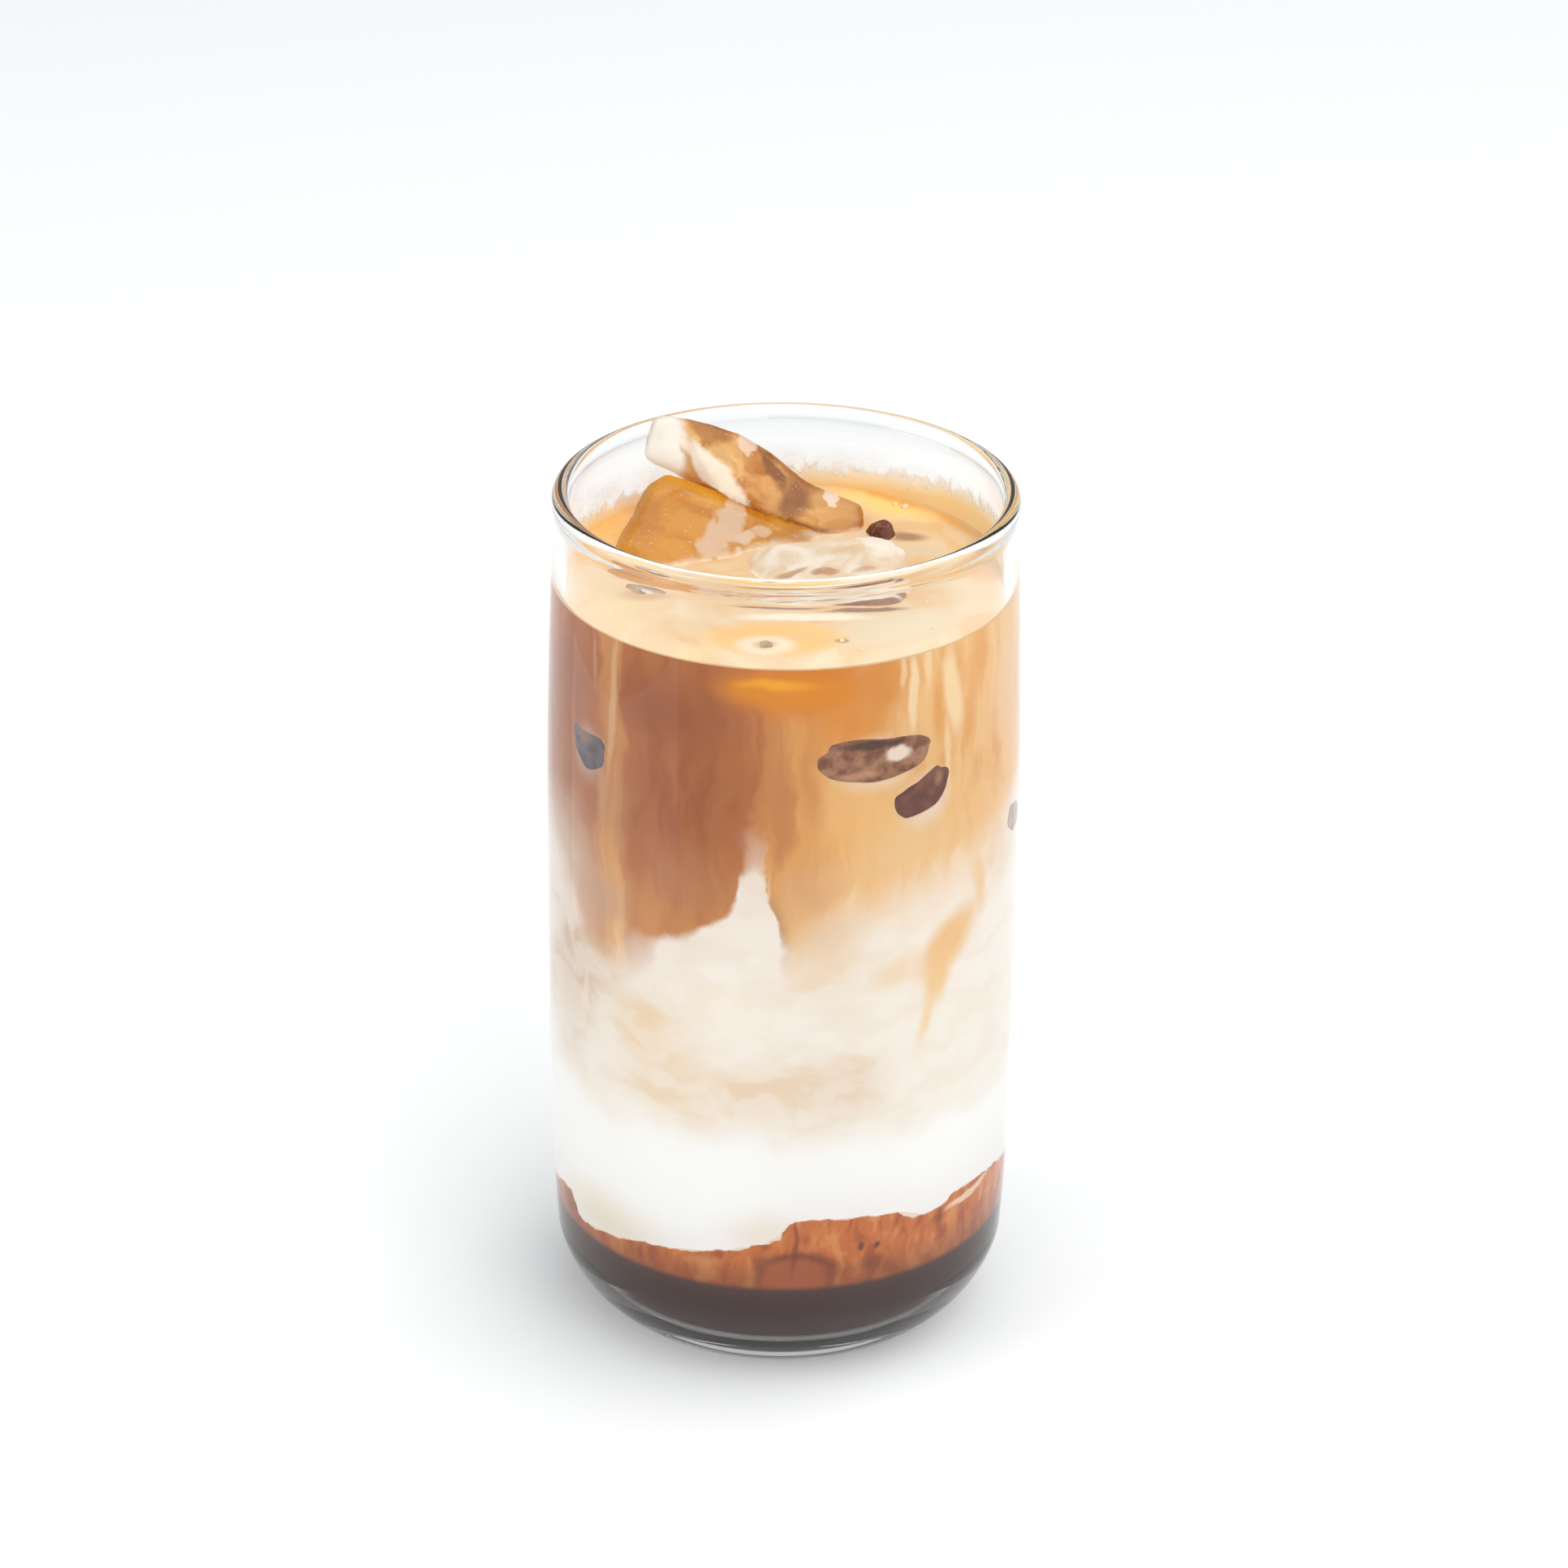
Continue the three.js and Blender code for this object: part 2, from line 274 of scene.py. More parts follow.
def ruffle(piece, size, depth):
    """Pushes the surface in and out by a noise whose lumps have a size, both in millimetres."""
    hollows = bpy.data.textures.new(piece.name + "_hollows", "CLOUDS")
    hollows.noise_scale = size * MM
    apply_modifier(piece, "DISPLACE", texture=hollows, texture_coords="LOCAL", strength=depth * MM)


def copy_of_node(node_name, name):
    """A merged copy of a CAD node's mesh, as the start of a finer piece."""
    pick(frame["nodes"][node_name])
    bpy.ops.object.duplicate()
    piece = bpy.context.object
    piece.name = piece.data.name = name
    bpy.ops.object.parent_clear(type="CLEAR_KEEP_TRANSFORM")
    for key in list(piece.keys()):
        del piece[key]
    piece.data.materials.clear()
    bpy.ops.object.mode_set(mode="EDIT")
    bpy.ops.mesh.select_all(action="SELECT")
    bpy.ops.mesh.remove_doubles(threshold=0.01 * MM)
    bpy.ops.object.mode_set(mode="OBJECT")
    return piece


def finish_piece(piece, material, slot, *nodes, angle=180):
    """Shades and paints a finished piece, hides the frame's nodes that it stands for and hangs it on the root
    body.
    """
    pick(piece)
    # a Boolean leaves normals of its own, which would shade the rims darkly
    bpy.ops.mesh.customdata_custom_splitnormals_clear()
    if angle >= 180:
        bpy.ops.object.shade_smooth()
    else:
        bpy.ops.object.shade_smooth_by_angle(angle=math.radians(angle))
    piece.data.materials.clear()
    piece.data.materials.append(material)
    if nodes:
        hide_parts(*nodes)
    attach(piece, "root")


def layer(name, bottom, top, low_rings, high_rings, wall, skin_steps):
    """A liquid's solid between two surfaces, each a height over radius and angle, out to the glass.

    The section is drawn with height 0 for the bottom and 1 for the top, and is then put in place.
    """
    section = [(0, 0), *[(r, 0) for r in low_rings]]
    section += [(BODY_RADIUS, i / skin_steps) for i in range(skin_steps + 1)]
    section += [*[(r, 1) for r in reversed(high_rings)], (0, 1)]
    piece = turned(name, section, LAYER_SIDES)

    def place(point):
        r = math.hypot(point.x, point.y)
        angle = math.degrees(math.atan2(point.x, -point.y))
        on_skin = r > BODY_RADIUS - 0.1
        reach = BODY_RADIUS - wall if on_skin else r
        height = bottom(reach, angle) * (1 - point.z) + top(reach, angle) * point.z
        scale = skin_radius(height, wall) / r if on_skin else 1
        return (point.x * scale, point.y * scale, height)

    reshape(piece, place)
    face_outward(piece)
    return piece


# Material helpers

# What makes a Map Range node smooth: 0 below its first bound, 1 above its second, or the other way
# round where the first bound is the higher one
SOFT = {"interpolation_type": "SMOOTHSTEP"}


def add(tree, kind, inputs=None, stops=(), **settings):
    """Adds a shader node with its settings; an input is a value, a socket, or a node's first output.

    The stops of a colour ramp are (position, sRGB hex) pairs.
    """
    made = tree.nodes.new("ShaderNode" + kind)
    for name, value in settings.items():
        setattr(made, name, value)
    for index, (position, code) in enumerate(stops):
        elements = made.color_ramp.elements
        made.color_ramp.interpolation = "EASE"
        element = elements[index] if index < 2 else elements.new(position)
        element.position, element.color = position, linear(code)
    for socket, value in (inputs or {}).items():
        if isinstance(value, bpy.types.Node):
            value = value.outputs[0]
        if isinstance(value, bpy.types.NodeSocket):
            tree.links.new(value, made.inputs[socket])
        else:
            made.inputs[socket].default_value = value
    return made


def new_material(name):
    """An empty node material and its tree, with an output node called Output."""
    material = bpy.data.materials.new(name)
    material.use_nodes = True
    tree = material.node_tree
    tree.nodes.clear()
    add(tree, "OutputMaterial").name = "Output"
    return material, tree


def send_out(tree, shader):
    """Links the finished shader to the material's output."""
    tree.links.new(shader.outputs[0], tree.nodes["Output"].inputs["Surface"])


def point_in_mm(tree):
    """The point on the piece, in millimetres."""
    place = add(tree, "TexCoord").outputs["Object"]
    return add(tree, "VectorMath", {0: place, "Scale": 1 / MM}, operation="SCALE")


def unrolled(tree, point):
    """Arc length round the glass from the front, and height, as one vector in millimetres."""
    parts = add(tree, "SeparateXYZ", {0: point})
    towards = add(tree, "Math", {0: parts.outputs["Y"], 1: -1.0}, operation="MULTIPLY")
    turn = add(tree, "Math", {0: parts.outputs["X"], 1: towards}, operation="ARCTAN2")
    arc = add(tree, "Math", {0: turn, 1: ARC_RADIUS}, operation="MULTIPLY")
    return add(tree, "CombineXYZ", {0: arc, 1: parts.outputs["Z"]})


def lumps(tree, point, size, detail=2.0, squash=(1, 1, 1), **inputs):
    """Noise whose lumps have a size in millimetres; squash above 1 shortens them along an axis."""
    stretched = add(tree, "VectorMath", {0: point, 1: squash}, operation="MULTIPLY")
    return add(tree, "TexNoise", {"Vector": stretched, "Scale": 1 / size, "Detail": detail, **inputs})


def stirred(tree, flat, point, size, amount, detail=2.0):
    """A vector moved about by noise, so that what is painted on it runs like a stirred liquid."""
    churn = lumps(tree, point, size, detail).outputs["Color"]
    centred = add(tree, "VectorMath", {0: churn, 1: (0.5, 0.5, 0.5)}, operation="SUBTRACT")
    moved = add(tree, "VectorMath", {0: centred, "Scale": amount}, operation="SCALE")
    return add(tree, "VectorMath", {0: flat, 1: moved}, operation="ADD")


# Half-size in millimetres that is too large to play a part in a spot's shape
FAR = 1000.0


def spot(tree, flat, at, size, turn=0.0, edge=0.6):
    """A soft oval: 1 inside and 0 outside, its edge that share of its half-size wide."""
    placed = add(tree, "Mapping", {
        "Vector": flat,
        "Location": (*at, 0.0),
        "Rotation": (0.0, 0.0, math.radians(turn)),
        "Scale": (*size, FAR),
    }, vector_type="TEXTURE")
    ball = add(tree, "TexGradient", {0: placed}, gradient_type="SPHERICAL")
    return add(tree, "MapRange", {0: ball, 1: 0.0, 2: edge}, **SOFT)


def paint(tree, under, over, mask, strength=1.0):
    """Lays a colour over another where a mask says."""
    amount = add(tree, "Math", {0: mask, 1: strength}, operation="MULTIPLY")
    over = linear(over) if isinstance(over, str) else over
    return add(tree, "MixRGB", {"Fac": amount, "Color1": under, "Color2": over})


def paint_patches(tree, colour, flat, patches, across=1.0):
    """Lays patches of colour over another; across turns their first measures into millimetres."""
    for x, y, half_width, half_height, turn, code, strength, edge in patches:
        mask = spot(tree, flat, (x * across, y), (half_width * across, half_height), turn, edge)
        colour = paint(tree, colour, code, mask, strength)
    return colour


def outline_height(tree, arc, outline):
    """The height of an outline of (angle, height) pairs at an arc length round the glass."""
    turns = 1 / (2 * math.pi * ARC_RADIUS)
    share = add(tree, "Math", {0: arc, 1: turns, 2: 0.5}, operation="MULTIPLY_ADD")
    curve = add(tree, "FloatCurve", {"Factor": 1.0, "Value": share})
    points = curve.mapping.curves[0].points
    low = min(height for _, height in outline)
    high = max(height for _, height in outline)
    placed = [((angle + 180) / 360, (height - low) / (high - low)) for angle, height in outline]
    points[0].location, points[1].location = placed[0], placed[-1]
    for location in placed[1:-1]:
        points.new(*location)
    curve.mapping.update()
    return add(tree, "Math", {0: curve, 1: high - low, 2: low}, operation="MULTIPLY_ADD")


# How pale the coffee is at the wall, from 0 in the dark cloud to 1 for cream: angle, tone
COFFEE_TONE = [
    (-180, 0.62), (-130, 0.55), (-98, 0.4), (-82, 0.2), (-66, 0.16), (-56, 0.18), (-50, 0.36), (-46, 0.4),
    (-42, 0.2), (-28, 0.12), (-14, 0.18), (-4, 0.4), (8, 0.6), (22, 0.68), (40, 0.72), (60, 0.74),
    (85, 0.8), (130, 0.72), (180, 0.62),
]

# Patches of colour in the coffee, as seen at the wall: angle, height, half-width in degrees,
# half-height in millimetres, turn in degrees, colour, strength and softness
SWIRLS = [
    # the darkest part of the cloud, under the foam
    (-30, 115, 24, 10, 0, "984E22", 0.7, 0.9),
    (-66, 114, 14, 12, 0, "A25C34", 0.6, 0.9),
    # greyish beige at the far left, lower down
    (-70, 84, 26, 13, 0, "D2B8A2", 0.95, 0.8),
    (-50, 80, 16, 7, 20, "C9A284", 0.7, 0.9),
    (-50, 97, 3.4, 8, 8, "CFA27A", 0.6, 0.9),
    (-45, 94, 8, 12, 0, "C08A58", 0.5, 0.9),
    # the cloud's paler lower part
    (-24, 88, 16, 9, 0, "BE8254", 0.7, 0.9),
    # milky coffee round the peak of the milk
    (6, 86, 12, 9, 0, "DCA878", 0.7, 0.9),
    (12, 78, 18, 6, 0, "EACBA8", 0.8, 0.9),
    # caramel cloud right of the middle
    (22, 100, 24, 12, 0, "F2C27C", 0.8, 0.7),
    (32, 92, 22, 8, 10, "F0CB96", 0.7, 0.9),
    (6, 104, 6, 12, 0, "CE8A46", 0.6, 0.9),
    (70, 112, 10, 14, 0, "F0CFA8", 0.6, 0.9),
]

# Sharper marks in the coffee, in the same order of values
RILLS = [
    # the back, which the photo doesn't show, goes on in the same way
    (150, 89, 8, 12, 18, "F1DFC6", 0.8, 0.9),
    (-148, 93, 8, 12, -18, "B87442", 0.8, 0.9),
    (-118, 99, 12, 16, 10, "AC683A", 0.7, 0.9),
    (126, 97, 9, 14, -12, "EECB9A", 0.8, 0.9),
    # the light caramel vein beside the cloud
    (-47, 112, 1.8, 16, -3, "DDB080", 0.8, 0.7),
    (-54, 118, 1.2, 7, 4, "C99670", 0.6, 0.8),
    # the amber glow under the foam
    (5, 121, 27, 8.5, 0, "D87C06", 0.95, 0.8),
    (16, 114, 15, 7, 0, "E08E22", 0.8, 0.9),
    (3, 119.2, 25, 3.6, -1, "E08C06", 0.95, 0.6),
    (-2, 120.4, 14, 1.3, -1, "F4A816", 0.9, 0.8),
    (26, 120, 12, 8, 0, "DA8C34", 0.8, 0.8),
    # light drips that hang from the foam at the right
    (33.5, 117, 2.0, 9, 0, "F8DEB2", 0.9, 0.6),
    (30.5, 121, 1.4, 4, 0, "F4D09C", 0.8, 0.7),
    (38, 121, 1.8, 5, 0, "F6D6A2", 0.8, 0.7),
    (46, 115, 3.8, 10, 6, "F8DEB2", 0.9, 0.6),
    (44, 106, 1.6, 8, 4, "F8DEB2", 0.7, 0.8),
    (41, 113, 2.2, 8, 0, "E3A04E", 0.8, 0.8),
    (56, 119, 6, 9, -12, "E6A654", 0.8, 0.9),
    # the milky rims round the sunk ice
    (-56, 102.4, 8, 6.0, 0, "C4AC9C", 0.9, 0.8),
    (23, 106.7, 15, 5.6, -3, "F4E2C8", 0.95, 0.7),
    (37, 99.0, 10.5, 5.8, 24, "F2DEC6", 0.95, 0.7),
    (76, 86.5, 8, 6, 0, "EADCD0", 0.95, 0.8),
    # grey shade and curl right of the milk's peak
    (-1.5, 80, 4, 9, 8, "B78E70", 0.7, 0.8),
    (-3.6, 85, 0.8, 7, -4, "EAC594", 0.9, 0.8),
]

# Patches below the milk's edge, in the same order of values
CLOUDS = [
    (-66, 64, 28, 21, 0, "D6BA9E", 1.0, 0.9),
    (-50, 73, 14, 8, 20, "D9BB9A", 0.85, 0.9),
    (-34, 60, 18, 10, -8, "EED0A8", 0.95, 0.9),
    (-30, 50, 26, 8, 6, "EFD9BC", 0.95, 0.9),
    (-6, 52, 24, 9, 0, "ECD3B6", 0.95, 0.9),
    (14, 54, 18, 8, 0, "E9CEB0", 0.95, 0.9),
    (-12, 66, 16, 5, -10, "F6E8D4", 0.7, 0.9),
    (14, 71, 18, 7, 0, "F0DAC0", 0.85, 0.9),
    (60, 84, 22, 10, 0, "EED4B6", 0.9, 0.9),
]

# Sharper marks in the milk: the caramel streak at the right and the curls at the left
STREAKS = [
    # the back, which the photo doesn't show, goes on in the same way
    (146, 62, 16, 7, 12, "EFD4B0", 0.8, 0.9),
    (-152, 55, 15, 6, -8, "F0DABC", 0.8, 0.9),
    (118, 50, 14, 6, 8, "EED2AE", 0.7, 0.9),
    (-116, 62, 16, 8, -14, "ECCDA2", 0.8, 0.9),
    (-134, 70, 9, 8, 24, "FCF8F2", 0.9, 0.9),
    # beige where syrup has bled into the milk over the smear
    (-50, 23, 28, 9, -4, "F1E1C9", 0.75, 0.95),
    (-4, 28, 16, 6, 0, "F4E6D2", 0.6, 0.95),
    (46, 74, 19, 4.6, 38, "F0C080", 0.95, 0.8),
    (42, 68, 6, 8, -12, "F2C88C", 0.9, 0.8),
    (39, 61, 3, 5, -14, "F4D4A4", 0.8, 0.8),
    (30, 72, 10, 4, 20, "F2D4AA", 0.7, 0.9),
    (57, 82, 4, 8, 10, "F2CA94", 0.85, 0.8),
    (-66, 74, 3, 10, 14, "EFE0D2", 0.7, 0.8),
    (-58, 60, 2.4, 9, -8, "F2E2D0", 0.7, 0.8),
]


def past_outline(tree, flat, outline):
    """How far a point of the unrolled wall lies above an outline, in millimetres."""
    parts = add(tree, "SeparateXYZ", {0: flat})
    edge = outline_height(tree, parts.outputs["X"], outline)
    return add(tree, "Math", {0: parts.outputs["Y"], 1: edge}, operation="SUBTRACT")


def stirred_drink(tree):
    """Colour of the milk and the coffee at every point of the drink."""
    point = point_in_mm(tree)
    wall = unrolled(tree, point)
    # slow billows 16 mm across, curls 4.5 mm across and fringes 2 mm across
    slow = stirred(tree, wall, point, 16, 7.0, detail=1.0)
    fine = stirred(tree, slow, point, 4.5, 3.0, detail=3.0)
    parts = add(tree, "SeparateXYZ", {0: fine})
    arc, height = parts.outputs["X"], parts.outputs["Y"]

    # coffee: its tone round the glass, drawn out into streaks that sink
    tone = outline_height(tree, arc, COFFEE_TONE)
    sinking = lumps(tree, fine, 5, 5.0, (1.6, 0.28, 1), Distortion=0.5)
    tone = add(tree, "Math", {0: sinking, 1: 0.52, 2: tone}, operation="MULTIPLY_ADD")
    low_down = add(tree, "MapRange", {0: height, 1: 98.0, 2: 80.0, 3: -0.26, 4: -0.03}, **SOFT)
    tone = add(tree, "Math", {0: tone, 1: low_down}, operation="ADD")
    coffee = add(tree, "ValToRGB", {0: tone}, [
        (0.0, "A25622"), (0.2, "B36A34"), (0.4, "CB884A"),
        (0.6, "E3A65C"), (0.8, "EEC284"), (1.0, "F2D6B0"),
    ])
    coffee = paint_patches(tree, coffee, fine, SWIRLS, ARC_PER_DEGREE)
    near = stirred(tree, wall, point, 5, 1.6, detail=3.0)
    coffee = paint_patches(tree, coffee, near, RILLS, ARC_PER_DEGREE)

    # milk: white, with faint tan clouds in its upper half
    milk = paint_patches(tree, linear("F4EADD"), slow, CLOUDS, ARC_PER_DEGREE)
    clouds = lumps(tree, fine, 9, 4.0, (1, 1.6, 1))
    milk = paint(tree, milk, "FBF7F1", add(tree, "MapRange", {0: clouds, 1: 0.62, 2: 0.42}, **SOFT), 0.42)
    milk = paint(tree, milk, "FDFCFA", add(tree, "MapRange", {0: height, 1: 48.0, 2: 40.0}, **SOFT), 0.95)
    wisps = stirred(tree, wall, point, 7, 4.0, detail=4.0)
    milk = paint_patches(tree, milk, wisps, STREAKS, ARC_PER_DEGREE)

    # the edge between them: crisp under the dark cloud, soft elsewhere
    above = past_outline(tree, fine, MILK_EDGE)
    crisp = spot(tree, wall, (-18 * ARC_PER_DEGREE, 82), (26 * ARC_PER_DEGREE, 16), 0, 0.4)
    width = add(tree, "MapRange", {"Value": crisp, "To Min": 7.0, "To Max": 1.2})
    ratio = add(tree, "Math", {0: above, 1: width}, operation="DIVIDE")
    mixed = add(tree, "MapRange", {0: ratio, 1: -1.0, 2: 1.0}, **SOFT)
    colour = add(tree, "MixRGB", {"Fac": mixed, "Color1": milk, "Color2": coffee})

    # drips of syrup that reach over its edge
    colour = paint(tree, colour, "B8642E", smear_edge_mask(tree, wall, point), 0.95)

    # away from the wall the drink is an even milky brown
    inside = add(tree, "SeparateXYZ", {0: point})
    across = add(tree, "CombineXYZ", {0: inside.outputs["X"], 1: inside.outputs["Y"]})
    radius = add(tree, "VectorMath", {0: across}, operation="LENGTH").outputs["Value"]
    core = add(tree, "MapRange", {0: radius, 1: ARC_RADIUS - 1.6, 2: ARC_RADIUS - 2.6}, **SOFT)
    return paint(tree, colour, "B9782F", core)


def smear_edge_mask(tree, wall, point):
    """1 where the syrup's smear lies and 0 above its fringed edge."""
    fringe = stirred(tree, wall, point, 2.6, 1.9, detail=4.0)
    above = past_outline(tree, fringe, SMEAR_EDGE)
    return add(tree, "MapRange", {0: above, 1: 0.12, 2: -0.22}, **SOFT)


def drink_material(name):
    """Milk and coffee stirred into each other: opaque liquid, its gloss given by the glass it wets."""
    material, tree = new_material(name)
    shader = add(tree, "BsdfPrincipled", {
        "Base Color": stirred_drink(tree),
        "Roughness": 0.6,
        "Specular IOR Level": 0.0,
    })
    send_out(tree, shader)
    return material


def syrup_material():
    """Chocolate syrup: nearly black brown where it has settled, red-brown where it smears the wall."""
    material, tree = new_material("chocolate syrup")
    point = point_in_mm(tree)
    wall = unrolled(tree, point)
    fine = stirred(tree, wall, point, 3.5, 2.0, detail=3.0)
    height = add(tree, "SeparateXYZ", {0: wall}).outputs["Y"]
    streaks = lumps(tree, fine, 3.4, 4.0, (1.3, 0.6, 1), Distortion=0.4)
    colour = add(tree, "ValToRGB", {0: streaks}, [(0.34, "AE5622"), (0.5, "CC7030"), (0.66, "DE8E4C")])
    thicker = add(tree, "MapRange", {0: height, 1: SYRUP_LEVEL + 6.5, 2: SYRUP_LEVEL}, **SOFT)
    colour = paint(tree, colour, "84401F", thicker, 0.6)
    colour = paint_patches(tree, colour, fine, SMEAR_MARKS, ARC_PER_DEGREE)
    settled = add(tree, "MapRange", {0: height, 1: SYRUP_LEVEL + 0.9, 2: SYRUP_LEVEL - 0.5}, **SOFT)
    colour = paint(tree, colour, "4A2E28", settled)
    colour = paint(tree, linear("F3DFCC"), colour, smear_edge_mask(tree, wall, point))
    shader = add(tree, "BsdfPrincipled", {
        "Base Color": colour,
        "Roughness": 0.35,
        "Specular IOR Level": 0.1,
    })
    # light that grazes the syrup's underside in the glass is thrown back by it, so the base looks clear
    facing = add(tree, "LayerWeight", {"Blend": 0.5}).outputs["Facing"]
    grazing = add(tree, "MapRange", {0: facing, 1: 0.622, 2: 0.655})
    gloss = add(tree, "BsdfGlossy", {"Color": linear("F8F8F8"), "Roughness": 0.0})
    send_out(tree, add(tree, "MixShader", {0: grazing, 1: shader, 2: gloss}))
    return material


# Darker rings, drops and runs in the smear of syrup, in the same order of values
SMEAR_MARKS = [
    (4, 20.5, 13, 5.0, 0, "6E3018", 0.8, 0.35),
    (4, 19.8, 10.5, 4.2, 0, "B0592B", 0.9, 0.3),
    (4, 25, 1.2, 7, 0, "6E3018", 0.7, 0.9),
    (21, 24.3, 1.6, 1.1, 0, "5E2A18", 0.9, 0.8),
    (26, 24.1, 1.6, 1.1, 0, "5E2A18", 0.9, 0.8),
    (45, 25.5, 3, 2.0, 0, "6E3018", 0.7, 0.9),
    (24, 21, 5, 2.2, 0, "7A3B20", 0.6, 0.9),
    (-38, 20.5, 1.4, 3, 0, "7A3B20", 0.6, 0.9),
    (-68, 20.5, 9, 4, 0, "8A4630", 0.8, 0.9),
    (-20, 21.5, 8, 1.6, 4, "D08A50", 0.7, 0.8),
    (57, 26.6, 12, 1.0, 8, "F2D2B6", 0.95, 0.5),
    (62, 22.5, 9, 1.8, 10, "B4623A", 0.7, 0.9),
]


def foam_dip(r, angle):
    """How far the foam's top sinks towards the glass in front; at the back it clings to it."""
    return FOAM_DIP * smooth(r, 30.5, 33.6) ** 2 * smooth(math.cos(math.radians(angle)), 0.1, 0.55)


def crema_material():
    """Wet coffee foam: pale cream with caramel swirls, painted shadows beside the ice, and the fine grain of
    its bubbles.
    """
    material, tree = new_material("coffee foam")
    point = point_in_mm(tree)
    slow = stirred(tree, point, point, 11, 6.0, detail=1.5)
    fine = stirred(tree, slow, point, 3.5, 1.8, detail=2.0)
    near = stirred(tree, point, point, 2.6, 1.3, detail=3.0)
    veins = lumps(tree, slow, 13, 3.0, Distortion=1.2)
    colour = add(tree, "ValToRGB", {0: veins}, [(0.34, "DDB07A"), (0.5, "E0BE93"), (0.7, "E4C9A6")])
    colour = paint_patches(tree, colour, fine, FOAM_PATCHES)
    colour = paint_patches(tree, colour, near, FOAM_MARKS)
    grain = lumps(tree, point, 0.5)
    relief = add(tree, "Bump", {"Height": grain, "Strength": 0.25, "Distance": 0.1 * MM})
    shader = add(tree, "BsdfPrincipled", {
        "Base Color": colour,
        "Roughness": 0.42,
        "Normal": relief,
    })
    send_out(tree, shader)
    return material


# Cream and orange patches on the foam: x, y, half-sizes in millimetres, turn, colour, strength,
# softness
FOAM_PATCHES = [
    (18, -20, 13, 9, 35, "DFCAA8", 0.9, 0.8),
    (-24, -14, 8, 9, 0, "E6C896", 0.8, 0.8),
    (-14, -30.5, 14, 2.2, 20, "E9C38C", 0.8, 0.8),
    # orange against the glass at the back
    (15, 26, 17, 6, -38, "FCCB78", 0.95, 0.8),
    (-27, 15, 7, 13, 0, "EDB868", 0.85, 0.8),
    # grey cream at the right
    (26, -4, 5, 9, 10, "E6CEAA", 0.7, 0.8),
]

# Sharper marks on the foam, in the same order of values
FOAM_MARKS = [
    # the pale arc round the slab of ice, and the painted shadow under its edge
    (3, -16.6, 13, 2.2, 0, "F2E2C8", 0.9, 0.6),
    (-1, -12.2, 8.5, 1.5, -2, "94664A", 0.95, 0.5),
    (12, -13.6, 7.5, 1.3, 6, "8E6046", 0.95, 0.5),
    # the orange zone round the tip of ice, its pale halo and the pit beside it
    (-1.5, -24.6, 12.5, 7.2, 0, "EDB664", 0.9, 0.35),
    (-2.9, -27.2, 5.6, 4.4, 0, "E6D2B2", 0.95, 0.5),
    (-2.9, -27.2, 2.4, 2.0, 0, "C4A070", 0.8, 0.8),
    (8.3, -25.4, 1.3, 1.1, 0, "B08040", 0.9, 0.6),
    # frost round the lump at the left
    (-21, -8.6, 6, 3.6, 0, "C79C70", 0.8, 0.8),
    (-19, -6.5, 2.5, 1.0, 0, "F4E6D0", 0.8, 0.6),
    # deep orange lines where the foam meets the glass
    (16.5, 27.2, 11, 1.6, -38, "EBAC58", 0.9, 0.8),
    (26.5, 17.2, 8, 1.5, -58, "E8AA5C", 0.9, 0.8),
    (-31.2, 6, 2.0, 10, 0, "E9B062", 0.8, 0.8),
    # the painted shadow that the chip casts beside it, and the grey cream in front of it
    (18.6, 12.7, 4.6, 2.4, -14, "A06C42", 0.9, 0.7),
    (21, 7, 8, 3.5, -20, "D6BC98", 0.85, 0.8),
]


def clear_glass_material():
    """Soda-lime glass, blown and fire-polished: clear, faintly green in its edges, mirror smooth."""
    material, tree = new_material("soda-lime glass")
    shader = add(tree, "BsdfPrincipled", {
        "Base Color": linear("FCFDFD"),
        "Roughness": 0.0,
        "IOR": 1.5,
        "Transmission Weight": 1.0,
    })
    through = add(tree, "BsdfTransparent", {"Color": linear("FCFDFD")})
    lamp = add(tree, "LightPath").outputs["Is Shadow Ray"]
    send_out(tree, add(tree, "MixShader", {0: lamp, 1: shader, 2: through}))
    return material
